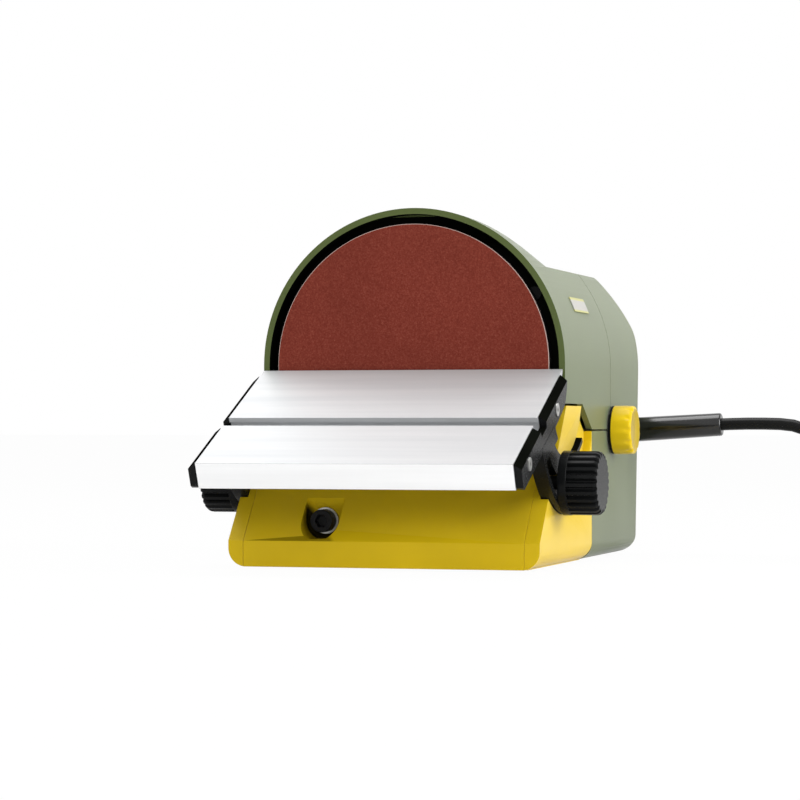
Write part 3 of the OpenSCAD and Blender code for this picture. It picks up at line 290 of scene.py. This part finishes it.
# %% Soften the edges of a solid
def soften(node, width):
    only(frame["nodes"][node])
    bpy.ops.object.duplicate()
    piece = bpy.context.object
    piece.name = node + "_finished"
    edit(piece)
    bpy.ops.mesh.select_all(action="SELECT")
    bpy.ops.mesh.remove_doubles(threshold=2e-6)
    bpy.ops.mesh.dissolve_limited(angle_limit=radians(0.6))
    bpy.ops.object.mode_set(mode="OBJECT")
    round_edges(piece, width)
    return stand_for(piece, node)


# %% Shells, base and brackets
softened = {}
for node, width in [("base_body", 0.35), ("front_panel", 0.2), ("front_shell", 0.2), ("rear_shell", 0.2),
                    ("bracket_left", 0.4), ("bracket_right", 0.4), ("dust_duct", 0.6),
                    ("switch_body", 0.4), ("switch_rocker", 0.4), ("panel_bolt", 0.35),
                    ("panel_washer", 0.25), ("rubber_feet", 0.4), ("table_plate", 0.25)]:
    softened[node] = soften(node, width)
    print(node, len(softened[node].data.polygons), "faces")

# %% [markdown]
# The clamp knobs have a plain collar and a fluted grip. A cylinder with eight corners to each
# rib becomes fluted when three of every eight are drawn in towards the axis, the middle one
# furthest. The outer end is extruded twice more and tapered, which gives each rib its
# rounded tip. One knob is made, and the other is its mirrored copy.

# %% Turn a place round a knob's axis into its angle
def angle_about(co, y, z):
    return atan2(co.z - z * MM, co.y - (y + DISC_FACE) * MM)


# %% Clamp knobs
KNOB_Y, KNOB_Z, RIBS = -15.0, 38.0, 24
GRIP_R, GRIP_DEPTH, GRIP_X = 13.8, 11.4, 82.2
COLLAR_R, COLLAR_DEPTH, COLLAR_X = 14.0, 3.8, 74.6
axis_point = at(80, KNOB_Y, KNOB_Z)
bpy.ops.object.select_all(action="DESELECT")
bpy.ops.mesh.primitive_cylinder_add(vertices=RIBS * 8, radius=GRIP_R * MM, depth=GRIP_DEPTH * MM,
                                    location=at(GRIP_X, KNOB_Y, KNOB_Z), rotation=(0, pi / 2, 0))
grip = bpy.context.object
settle(grip)
edit(grip)


def place_in_rib(vert):
    """How far round its own rib a vertex lies, from 0 to 1."""
    return (angle_about(vert.co, KNOB_Y, KNOB_Z) / (2 * pi / RIBS) + 0.06) % 1.0


for low, high, scale in [(0.55, 0.97, 0.93), (0.68, 0.85, 0.955)]:
    pick(grip, "verts", lambda v: low < place_in_rib(v) < high)
    bpy.ops.transform.resize(value=(1, scale, scale), center_override=axis_point)
pick(grip, "faces", lambda f: f.normal.x > 0.9)
for dx, scale in [(1.0, 0.975), (0.9, 0.94)]:
    bpy.ops.mesh.extrude_region_move(TRANSFORM_OT_translate={"value": (dx * MM, 0, 0)})
    bpy.ops.transform.resize(value=(1, scale, scale), center_override=axis_point)
bpy.ops.object.mode_set(mode="OBJECT")
only(grip)
bpy.ops.object.shade_smooth_by_angle(angle=radians(30))

bpy.ops.object.select_all(action="DESELECT")
bpy.ops.mesh.primitive_cylinder_add(vertices=72, radius=COLLAR_R * MM, depth=COLLAR_DEPTH * MM,
                                    location=at(COLLAR_X, KNOB_Y, KNOB_Z), rotation=(0, pi / 2, 0))
collar = bpy.context.object
settle(collar)
round_edges(collar, 0.3, 3, 40)
only(grip)
collar.select_set(True)
bpy.ops.object.join()
knob_right = bpy.context.object
knob_right.name = "clamp_knob_grip_right"
stand_for(knob_right, "knob_right")

# %% The left knob is a mirrored copy
only(knob_right)
bpy.ops.object.duplicate()
knob_left = bpy.context.object
knob_left.name = "clamp_knob_grip_left"
edit(knob_left)
bpy.ops.mesh.select_all(action="SELECT")
bpy.ops.transform.mirror(constraint_axis=(True, False, False), center_override=(0, 0, 0))
bpy.ops.mesh.normals_make_consistent(inside=False)
bpy.ops.object.mode_set(mode="OBJECT")
stand_for(knob_left, "knob_left")
print("knob faces", len(knob_right.data.polygons))

# %% [markdown]
# The speed dial is a low drum with twelve shallow scallops round its outer edge for the
# fingertips. The scallops come from drawing every vertex near the outer rim in by a cosine
# of its angle, and the outer edge is stepped in twice so that it looks domed.

# %% Speed dial
DIAL_Y, DIAL_Z, DIAL_R, DIAL_X, DIAL_DEPTH, SCALLOPS = 98.0, 60.7, 11.4, 74.5, 6.0, 12
SCALLOP_START, SCALLOP_RUN, SCALLOP_DEPTH = 77.5, 1.8, 0.085
bpy.ops.object.select_all(action="DESELECT")
bpy.ops.mesh.primitive_cylinder_add(vertices=SCALLOPS * 10, radius=DIAL_R * MM, depth=DIAL_DEPTH * MM,
                                    location=at(DIAL_X, DIAL_Y, DIAL_Z), rotation=(0, pi / 2, 0))
dial = bpy.context.object
dial.name = "speed_dial_knob"
settle(dial)
edit(dial)
pick(dial, "faces", lambda f: f.normal.x > 0.9)
for dx, scale in [(0.8, 1.0), (1.3, 1.0), (0.8, 0.975), (0.6, 0.93)]:
    bpy.ops.mesh.extrude_region_move(TRANSFORM_OT_translate={"value": (dx * MM, 0, 0)})
    bpy.ops.transform.resize(value=(1, scale, scale), center_override=at(80, DIAL_Y, DIAL_Z))
bpy.ops.mesh.inset(thickness=1.2 * MM)
bpy.ops.mesh.inset(thickness=0.6 * MM, depth=-0.3 * MM)
bpy.ops.object.mode_set(mode="OBJECT")
for vert in dial.data.vertices:
    out = vert.co - at(0, DIAL_Y, DIAL_Z)
    deep = min(max((vert.co.x / MM - SCALLOP_START) / SCALLOP_RUN, 0.0), 1.0)
    rim = (out.yz.length / (DIAL_R * MM)) ** 3
    dip = max(0.0, cos(SCALLOPS * angle_about(vert.co, DIAL_Y, DIAL_Z))) ** 1.5
    pull = 1 - SCALLOP_DEPTH * deep * rim * dip
    vert.co.y = (DIAL_Y + DISC_FACE) * MM + out.y * pull
    vert.co.z = DIAL_Z * MM + out.z * pull
only(dial)
bpy.ops.object.shade_smooth_by_angle(angle=radians(38))
stand_for(dial, "speed_dial")

# %% [markdown]
# A thin black ring between the dial and the wall stands in for the dark shadow beside the dial: painted
# shadow.

# %% Black ring behind the dial, as painted shadow
bpy.ops.object.select_all(action="DESELECT")
bpy.ops.mesh.primitive_cylinder_add(vertices=96, radius=11.3 * MM, depth=1.3 * MM,
                                    location=at(70.85, DIAL_Y, DIAL_Z), rotation=(0, pi / 2, 0))
shadow_ring = bpy.context.object
shadow_ring.name = "dial_shadow_ring"
settle(shadow_ring)
round_edges(shadow_ring, 0.2, 2, 40)
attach(shadow_ring, body_of["speed_dial"])

# %% [markdown]
# The abrasive is a sheet of grit on cloth, cut to the disc and stuck to it. Its cut edge
# shows as a thin pale line. It is a thin cylinder whose flat faces are inset by a hair, and
# the rim left outside them gets its own paler finish.

# %% Abrasive sheet
bpy.ops.object.select_all(action="DESELECT")
bpy.ops.mesh.primitive_cylinder_add(vertices=160, radius=62.5 * MM, depth=0.8 * MM,
                                    location=at(0, 0.4, 90), rotation=(pi / 2, 0, 0))
sheet = bpy.context.object
sheet.name = "abrasive_sheet"
settle(sheet)
edit(sheet)
pick(sheet, "faces", lambda f: abs(f.normal.y) > 0.9)
bpy.ops.mesh.inset(thickness=0.2 * MM)
bpy.ops.object.mode_set(mode="OBJECT")
stand_for(sheet, "abrasive_disc")

# %% [markdown]
# Plain procedural plastics, metals and rubber cover everything. Each reads Object
# coordinates in metres, so the grain keeps its real size. Noise moves the colour and the
# roughness a little, and a finer noise gives the bump of a moulded or cast surface.

# %% Build a finish
def finish(name, dark, light, rough, metal=0.0, mottle=40.0, grain=1800.0, bump=0.12, stretch=(1, 1, 1),
           coat=0.0, spec=0.5, spread=0.06, haze=0.0):
    mat = bpy.data.materials.new(name)
    mat.use_nodes = True
    nodes, links = mat.node_tree.nodes, mat.node_tree.links
    shader = nodes["Principled BSDF"]
    shader.inputs["Metallic"].default_value = metal
    shader.inputs["Coat Weight"].default_value = coat
    shader.inputs["Coat Roughness"].default_value = 0.25
    shader.inputs["Specular IOR Level"].default_value = spec
    shader.inputs["Sheen Weight"].default_value = haze
    shader.inputs["Sheen Roughness"].default_value = 0.4
    place = nodes.new("ShaderNodeTexCoord")
    mapping = nodes.new("ShaderNodeMapping")
    mapping.inputs["Scale"].default_value = stretch
    links.new(place.outputs["Object"], mapping.inputs["Vector"])
    broad = nodes.new("ShaderNodeTexNoise")
    broad.inputs["Scale"].default_value = mottle
    broad.inputs["Detail"].default_value = 6.0
    fine = nodes.new("ShaderNodeTexNoise")
    fine.inputs["Scale"].default_value = grain
    fine.inputs["Detail"].default_value = 3.0
    ramp = nodes.new("ShaderNodeValToRGB")
    ramp.color_ramp.elements[0].position, ramp.color_ramp.elements[1].position = 0.3, 0.7
    ramp.color_ramp.elements[0].color = (*dark, 1.0)
    ramp.color_ramp.elements[1].color = (*light, 1.0)
    sheen = nodes.new("ShaderNodeMapRange")
    sheen.inputs["To Min"].default_value = rough - spread
    sheen.inputs["To Max"].default_value = rough + spread
    relief = nodes.new("ShaderNodeBump")
    relief.inputs["Strength"].default_value = bump
    relief.inputs["Distance"].default_value = 0.0002
    for texture in (broad, fine):
        links.new(mapping.outputs["Vector"], texture.inputs["Vector"])
    links.new(broad.outputs["Fac"], ramp.inputs["Fac"])
    links.new(ramp.outputs["Color"], shader.inputs["Base Color"])
    links.new(fine.outputs["Fac"], sheen.inputs["Value"])
    links.new(sheen.outputs["Result"], shader.inputs["Roughness"])
    links.new(fine.outputs["Fac"], relief.inputs["Height"])
    links.new(relief.outputs["Normal"], shader.inputs["Normal"])
    return mat


def near(colour, amount):
    return [c * (1 - amount) for c in colour], [c * (1 + amount) for c in colour]


# %% The machine's finishes
YELLOW, GREEN = (0.66, 0.46, 0.006), (0.080, 0.106, 0.031)
finishes = {
    "yellow_shell": finish("yellow_moulding", *near(YELLOW, 0.04), 0.32, grain=2600, bump=0.06, spec=0.15,
                            haze=0.2),
    "green_shell": finish("green_moulding", *near(GREEN, 0.05), 0.34, grain=2600, bump=0.08, spec=0.18,
                           haze=0.26),
    "black_plastic": finish("black_moulding", *near((0.005, 0.0054, 0.0056), 0.25), 0.26, grain=2400,
                            bump=0.10, spec=0.09, haze=0.01),
    "black_rubber": finish("black_rubber", *near((0.006, 0.006, 0.006), 0.3), 0.16, grain=1500, bump=0.02,
                           spec=0.55, spread=0.04),
    "table_aluminium": finish("brushed_table", (0.50, 0.51, 0.52), (0.56, 0.565, 0.57), 0.42, metal=0.5,
                              mottle=220, grain=2400, bump=0.04, stretch=(0.04, 1, 1), spec=0.2),
    "cast_aluminium": finish("cast_aluminium", (0.50, 0.51, 0.52), (0.62, 0.62, 0.63), 0.5, metal=1.0,
                             grain=900, bump=0.3),
    "steel": finish("zinc_steel", (0.48, 0.48, 0.47), (0.62, 0.62, 0.60), 0.34, metal=1.0, bump=0.05),
    "dark_steel": finish("black_paint", *near((0.006, 0.006, 0.0065), 0.2), 0.45, bump=0.08, spec=0.12),
    "bearing_steel": finish("ground_steel", *near((0.68, 0.68, 0.68), 0.05), 0.16, metal=1.0, bump=0.02),
    "copper": finish("bare_copper", (0.62, 0.24, 0.12), (0.78, 0.36, 0.2), 0.38, metal=1.0, bump=0.2),
    "brass": finish("turned_brass", *near((0.72, 0.52, 0.22), 0.06), 0.3, metal=1.0, bump=0.04),
    "carbon": finish("pressed_carbon", *near((0.03, 0.03, 0.03), 0.2), 0.7, bump=0.4),
    "circuit_board": finish("lacquered_board", *near((0.02, 0.13, 0.05), 0.2), 0.3, coat=0.4),
}

# %% [markdown]
# The abrasive needs more than a flat red. A fine noise picks between four red-browns, from
# dark grains to a few bright facets, and a broad one shades them a little. A fine cell
# pattern gives the bump of the grit.

# %% Grit
def abrasive_finish():
    mat = bpy.data.materials.new("red_brown_grit")
    mat.use_nodes = True
    nodes, links = mat.node_tree.nodes, mat.node_tree.links
    shader = nodes["Principled BSDF"]
    shader.inputs["Roughness"].default_value = 0.82
    shader.inputs["Specular IOR Level"].default_value = 0.05
    place = nodes.new("ShaderNodeTexCoord")
    grains = nodes.new("ShaderNodeTexVoronoi")
    grains.inputs["Scale"].default_value = 2200.0
    clumps = nodes.new("ShaderNodeTexNoise")
    clumps.inputs["Scale"].default_value = 1500.0
    clumps.inputs["Detail"].default_value = 5.0
    cloud = nodes.new("ShaderNodeTexNoise")
    cloud.inputs["Scale"].default_value = 28.0
    ramp = nodes.new("ShaderNodeValToRGB")
    stops = [(0.25, (0.15, 0.026, 0.017)), (0.47, (0.20, 0.037, 0.024)), (0.62, (0.23, 0.047, 0.031)),
             (0.80, (0.31, 0.080, 0.054))]
    ramp.color_ramp.elements[0].position, ramp.color_ramp.elements[1].position = stops[0][0], stops[-1][0]
    for spot, colour in stops[1:-1]:
        ramp.color_ramp.elements.new(spot)
    for element, (spot, colour) in zip(ramp.color_ramp.elements, stops):
        element.color = (*colour, 1.0)
    shade = nodes.new("ShaderNodeMix")
    shade.data_type, shade.blend_type = "RGBA", "MULTIPLY"
    shade.inputs["Factor"].default_value = 0.25
    relief = nodes.new("ShaderNodeBump")
    relief.inputs["Strength"].default_value = 0.4
    relief.inputs["Distance"].default_value = 0.0003
    for texture in (grains, clumps, cloud):
        links.new(place.outputs["Object"], texture.inputs["Vector"])
    links.new(clumps.outputs["Fac"], ramp.inputs["Fac"])
    links.new(ramp.outputs["Color"], shade.inputs["A"])
    links.new(cloud.outputs["Fac"], shade.inputs["B"])
    links.new(shade.outputs["Result"], shader.inputs["Base Color"])
    links.new(grains.outputs["Distance"], relief.inputs["Height"])
    links.new(relief.outputs["Normal"], shader.inputs["Normal"])
    return mat


finishes["abrasive"] = abrasive_finish()
cut_edge = finish("cut_edge", *near((0.50, 0.38, 0.34), 0.05), 0.7, bump=0.1, spec=0.1)

# %% [markdown]
# The label on the housing is left blank: a white field between two pale yellow bands. The
# bands are read from the height above the bench.

# %% Blank label
LABEL_LOW, LABEL_HIGH = 114.2 * MM, 120.8 * MM


def label_finish():
    mat = finish("blank_label", (0.5, 0.5, 0.48), (0.56, 0.56, 0.54), 0.35, bump=0.02, spec=0.15)
    nodes, links = mat.node_tree.nodes, mat.node_tree.links
    shader = nodes["Principled BSDF"]
    place = nodes.new("ShaderNodeTexCoord")
    split = nodes.new("ShaderNodeSeparateXYZ")
    bands = nodes.new("ShaderNodeMapRange")
    bands.inputs["From Min"].default_value, bands.inputs["From Max"].default_value = LABEL_LOW, LABEL_HIGH
    ramp = nodes.new("ShaderNodeValToRGB")
    ramp.color_ramp.interpolation = "CONSTANT"
    ramp.color_ramp.elements[0].color = (0.44, 0.43, 0.17, 1.0)
    ramp.color_ramp.elements[1].position, ramp.color_ramp.elements[1].color = 0.16, (0.40, 0.39, 0.365, 1.0)
    top = ramp.color_ramp.elements.new(0.84)
    top.color = (0.44, 0.43, 0.17, 1.0)
    links.new(place.outputs["Object"], split.inputs["Vector"])
    links.new(split.outputs["Z"], bands.inputs["Value"])
    links.new(bands.outputs["Result"], ramp.inputs["Fac"])
    links.new(ramp.outputs["Color"], shader.inputs["Base Color"])
    return mat


finishes["label_white"] = label_finish()

# %% [markdown]
# The table's top picks up more of the bright ground on its left, so its grey is paler there.

# %% Paler left side of the table
def scale_colour(mat, gain_from):
    """Multiplies a finish's colour by a number made from the place, which is split in three."""
    nodes, links = mat.node_tree.nodes, mat.node_tree.links
    shader = nodes["Principled BSDF"]
    colour = shader.inputs["Base Color"].links[0].from_socket
    place = nodes.new("ShaderNodeTexCoord")
    split = nodes.new("ShaderNodeSeparateXYZ")
    gain = nodes.new("ShaderNodeVectorMath")
    gain.operation = "SCALE"
    links.new(place.outputs["Object"], split.inputs["Vector"])
    links.new(colour, gain.inputs[0])
    links.new(gain_from(nodes, links, split.outputs), gain.inputs["Scale"])
    links.new(gain.outputs["Vector"], shader.inputs["Base Color"])


def ramp_over(nodes, links, value, low, high, to_low, to_high):
    """A number that goes from to_low to to_high while the value, in metres, goes low to high."""
    ramp = nodes.new("ShaderNodeMapRange")
    for name, number in [("From Min", low), ("From Max", high), ("To Min", to_low), ("To Max", to_high)]:
        ramp.inputs[name].default_value = number
    links.new(value, ramp.inputs["Value"])
    return ramp.outputs["Result"]


HALF_TABLE, LEFT_GAIN, RIGHT_GAIN = 69 * MM, 1.22, 0.92
scale_colour(finishes["table_aluminium"],
             lambda nodes, links, xyz: ramp_over(nodes, links, xyz["X"], -HALF_TABLE, HALF_TABLE,
                                                 LEFT_GAIN, RIGHT_GAIN))

# %% Give every piece its finish
def dress(obj, mat):
    obj.data.materials.clear()
    obj.data.materials.append(mat)


for name, node in frame["nodes"].items():
    dress(node, finishes[slot_of[name]])
for name, piece in softened.items():
    dress(piece, finishes[slot_of[name]])
# The ring behind the dial is dressed black as painted shadow.
for piece, slot in [(sleeve, "black_rubber"), (plug, "black_plastic"),
                    (knob_right, "black_plastic"), (knob_left, "black_plastic"),
                    (shadow_ring, "black_plastic"), (strap, "black_rubber"), (sheet, "abrasive")]:
    dress(piece, finishes[slot])
# The dial's face, turned to the light, gets a darker copy of the yellow as painted shade.
dress(dial, finishes["yellow_shell"])
dial.data.materials.append(finish("dial_face_painted_shade", *near((0.43, 0.30, 0.0045), 0.04), 0.34, grain=2600, bump=0.06,
                                  spec=0.12, haze=0.2))
for face in dial.data.polygons:
    face.material_index = 1 if face.normal.x > 0.8 else 0
dress(mains_lead, finish("lead_rubber", *near((0.004, 0.004, 0.004), 0.3), 0.3, grain=1500,
                         bump=0.02, spec=0.14))
GRIT_R = 62.3
sheet.data.materials.append(cut_edge)
for face in sheet.data.polygons:
    centre = face.center - at(0, 0, 90)
    flat = centre.xz.length < GRIT_R * MM and abs(face.normal.y) > 0.9
    face.material_index = 0 if flat else 1

# %% [markdown]
# The inside of the hood lies in deep shade, so it and the bulkhead get a dead black of painted
# shade. The groove along the table gets a mid grey of painted shade. The table's front face is
# painted paler than its top as painted light, with a thin grey line of painted shade between the
# two. Each gets its own finish on just those faces, which are found by which way they face and where they
# lie.

# %% Hood, groove and front edge
HOOD_AXIS, SLOPE = at(0, 0, 90), radians(24.4)
TILT_AXIS = at(0, -1.4, 87.5)
GROOVE_NEAR, GROOVE_FAR, GROOVE_DEEP = 49.5, 62.0, 9.0
FRONT_EDGE, FRONT_FACE = 97.0, 97.8
hood = softened["front_shell"]
# Painted shade: a dead black that stands in for the shade inside the hood, on the bulkhead and on the caps'
# upper edges.
shade_black = finish("hood_painted_shade", *near((0.003, 0.0034, 0.0026), 0.3), 0.9, bump=0.1, spec=0.0)
hood.data.materials.append(shade_black)
dress(frame["nodes"]["bulkhead"], shade_black)
for face in hood.data.polygons:
    out = (face.center - HOOD_AXIS).xz
    inward = face.normal.xz.dot(out.normalized()) < -0.25
    front = min(hood.data.vertices[i].co.y for i in face.vertices)
    if inward and out.length > 0.055 and front < at(0, 40, 0).y:
        face.material_index = 1

plate = softened["table_plate"]
# The groove's grey is painted shade, the front face's paler grey is painted light, and the thin line at the
# front edge is painted shade.
plate.data.materials.append(finish("table_groove_painted_shade", *near((0.56, 0.57, 0.58), 0.08), 0.5, metal=0.5,
                                   mottle=220, stretch=(0.04, 1, 1)))
plate.data.materials.append(finish("table_front_painted_light", (0.86, 0.865, 0.87), (0.92, 0.925, 0.93), 0.4, metal=0.3,
                                   mottle=220, bump=0.03, stretch=(0.04, 1, 1)))
plate.data.materials.append(finish("table_edge_painted_shade", *near((0.20, 0.20, 0.20), 0.1), 0.6, metal=0.2, spec=0.1))
for face in plate.data.polygons:
    arm = face.center - TILT_AXIS
    forward = -(arm.y * cos(SLOPE) + arm.z * sin(SLOPE)) / MM
    depth = (arm.y * sin(SLOPE) - arm.z * cos(SLOPE)) / MM
    upward = face.normal.z * cos(SLOPE) - face.normal.y * sin(SLOPE)
    side = abs(face.normal.x) > 0.5
    if GROOVE_NEAR < forward < GROOVE_FAR and 0.4 < depth < GROOVE_DEEP and not side:
        face.material_index = 1
    if forward > FRONT_FACE and face.normal.y < -0.5 and not side:
        face.material_index = 2
    if forward > FRONT_EDGE and depth < 1.0 and 0.15 < upward < 0.985:
        face.material_index = 3

# %% [markdown]
# The bolt keeps the light off the lower left side of its pocket, which is nearly black at the
# bottom and olive near the surface in the photograph. The pocket's faces darken along a
# diagonal through the bolt, and less so where they are shallow.

# %% Shadow in the bolt's pocket
BOLT_X, BOLT_Z, POCKET_R = -29.8, 21.4, 10.5
DARKEST, SHALLOW_GAIN = 0.03, 0.45
panel = softened["front_panel"]


def bolt_offset(face):
    return (face.center - at(BOLT_X, 0, BOLT_Z)).xz


pocket_floor = max(face.center.y for face in panel.data.polygons
                   if bolt_offset(face).length < POCKET_R * MM and face.normal.y < -0.98)


def pocket_gain(nodes, links, xyz):
    total = nodes.new("ShaderNodeMath")
    links.new(xyz["X"], total.inputs[0])
    links.new(xyz["Z"], total.inputs[1])
    across = (BOLT_X + BOLT_Z) * MM
    dusk = ramp_over(nodes, links, total.outputs[0], across - 3.5 * MM, across + 0.5 * MM, DARKEST, 1.0)
    shallow = ramp_over(nodes, links, xyz["Y"], pocket_floor - 3.5 * MM, pocket_floor - 1.5 * MM,
                        SHALLOW_GAIN, 0.0)
    best = nodes.new("ShaderNodeMath")
    best.operation = "MAXIMUM"
    links.new(dusk, best.inputs[0])
    links.new(shallow, best.inputs[1])
    return best.outputs[0]


pocket = finish("pocket_shadow", *near(YELLOW, 0.04), 0.5, grain=2600, bump=0.06, spec=0.05)
scale_colour(pocket, pocket_gain)
panel.data.materials.append(pocket)
for face in panel.data.polygons:
    away = bolt_offset(face)
    wall = abs(face.normal.y) < 0.97 and face.normal.xz.dot(away) < 0
    bottom = face.normal.y < -0.98
    if (wall or bottom) and away.length < POCKET_R * MM:
        face.material_index = 1

# %% [markdown]
# The caps' upper edges look black although they face the light, so they get painted shade: the
# same dead black as the hood. The two clamp studs get the near-black steel finish.

# %% Painted shade on the caps' upper edges, and dark studs
for name in ("bracket_left", "bracket_right"):
    cap = softened[name]
    cap.data.materials.append(shade_black)
    for face in cap.data.polygons:
        if face.normal.z > 0.35:
            face.material_index = 1
for name in ("stud_left", "stud_right"):
    dress(frame["nodes"][name], finishes["dark_steel"])

# %% [markdown]
# The picture has a white ground, and the object stands in soft studio light that is much
# stronger from the right. A pale floor takes the shadow. To the camera and in reflections
# the world is white, but as light it stays dimmer, so colours render about as written.

# %% Floor
FLOOR_GLOW, WORLD_LIGHT = 0.975, 0.30
bpy.ops.object.select_all(action="DESELECT")
bpy.ops.mesh.primitive_plane_add(size=30, location=(0, 0, 0))
floor = bpy.context.object
floor.name = "floor"
ground = bpy.data.materials.new("pale_floor")
ground.use_nodes = True
nodes, links = ground.node_tree.nodes, ground.node_tree.links
matt = nodes["Principled BSDF"]
matt.inputs["Base Color"].default_value = (0.82, 0.82, 0.82, 1.0)
matt.inputs["Roughness"].default_value = 0.9
glow = nodes.new("ShaderNodeEmission")
glow.inputs["Color"].default_value = (1, 1, 1, 1)
path = nodes.new("ShaderNodeLightPath")
share = nodes.new("ShaderNodeMath")
share.operation = "MULTIPLY"
share.inputs[1].default_value = FLOOR_GLOW
blend = nodes.new("ShaderNodeMixShader")
links.new(path.outputs["Is Camera Ray"], share.inputs[0])
links.new(share.outputs[0], blend.inputs["Fac"])
links.new(matt.outputs["BSDF"], blend.inputs[1])
links.new(glow.outputs["Emission"], blend.inputs[2])
links.new(blend.outputs["Shader"], nodes["Material Output"].inputs["Surface"])
floor.data.materials.append(ground)

# %% World
world = bpy.data.worlds.new("studio")
bpy.context.scene.world = world
world.use_nodes = True
nodes, links = world.node_tree.nodes, world.node_tree.links
sky = nodes["Background"]
sky.inputs["Color"].default_value = (1, 1, 1, 1)
path = nodes.new("ShaderNodeLightPath")
seen = nodes.new("ShaderNodeMath")
seen.operation = "MAXIMUM"
also = nodes.new("ShaderNodeMath")
also.operation = "MAXIMUM"
level = nodes.new("ShaderNodeMapRange")
level.inputs["To Min"].default_value, level.inputs["To Max"].default_value = WORLD_LIGHT, 1.0
links.new(path.outputs["Is Camera Ray"], seen.inputs[0])
links.new(path.outputs["Is Glossy Ray"], seen.inputs[1])
links.new(seen.outputs[0], also.inputs[0])
links.new(path.outputs["Is Transmission Ray"], also.inputs[1])
links.new(also.outputs[0], level.inputs["Value"])
links.new(level.outputs["Result"], sky.inputs["Strength"])


# %% Lamps
def lamp(name, place, aim, size, power, shine=True):
    data = bpy.data.lights.new(name, "AREA")
    data.shape, data.size, data.energy = "DISK", size, power
    light = bpy.data.objects.new(name, data)
    light.location = place
    light.rotation_euler = (Vector(aim) - Vector(place)).to_track_quat("-Z", "Y").to_euler()
    light.visible_glossy = shine
    bpy.context.collection.objects.link(light)


lamp("key_right", (1.5, -0.1, 0.5), (0.05, 0, 0.08), 0.9, 22)
lamp("top", (-0.1, 0.1, 1.6), (0, 0, 0.08), 1.2, 17)
lamp("front_fill", (0.3, -1.6, 0.75), (0, 0, 0.08), 1.0, 12, shine=False)

# %% [markdown]
# The view settings stay plain.

# %% Finish
bpy.context.scene.view_settings.view_transform = "Standard"
bpy.context.view_layer.update()
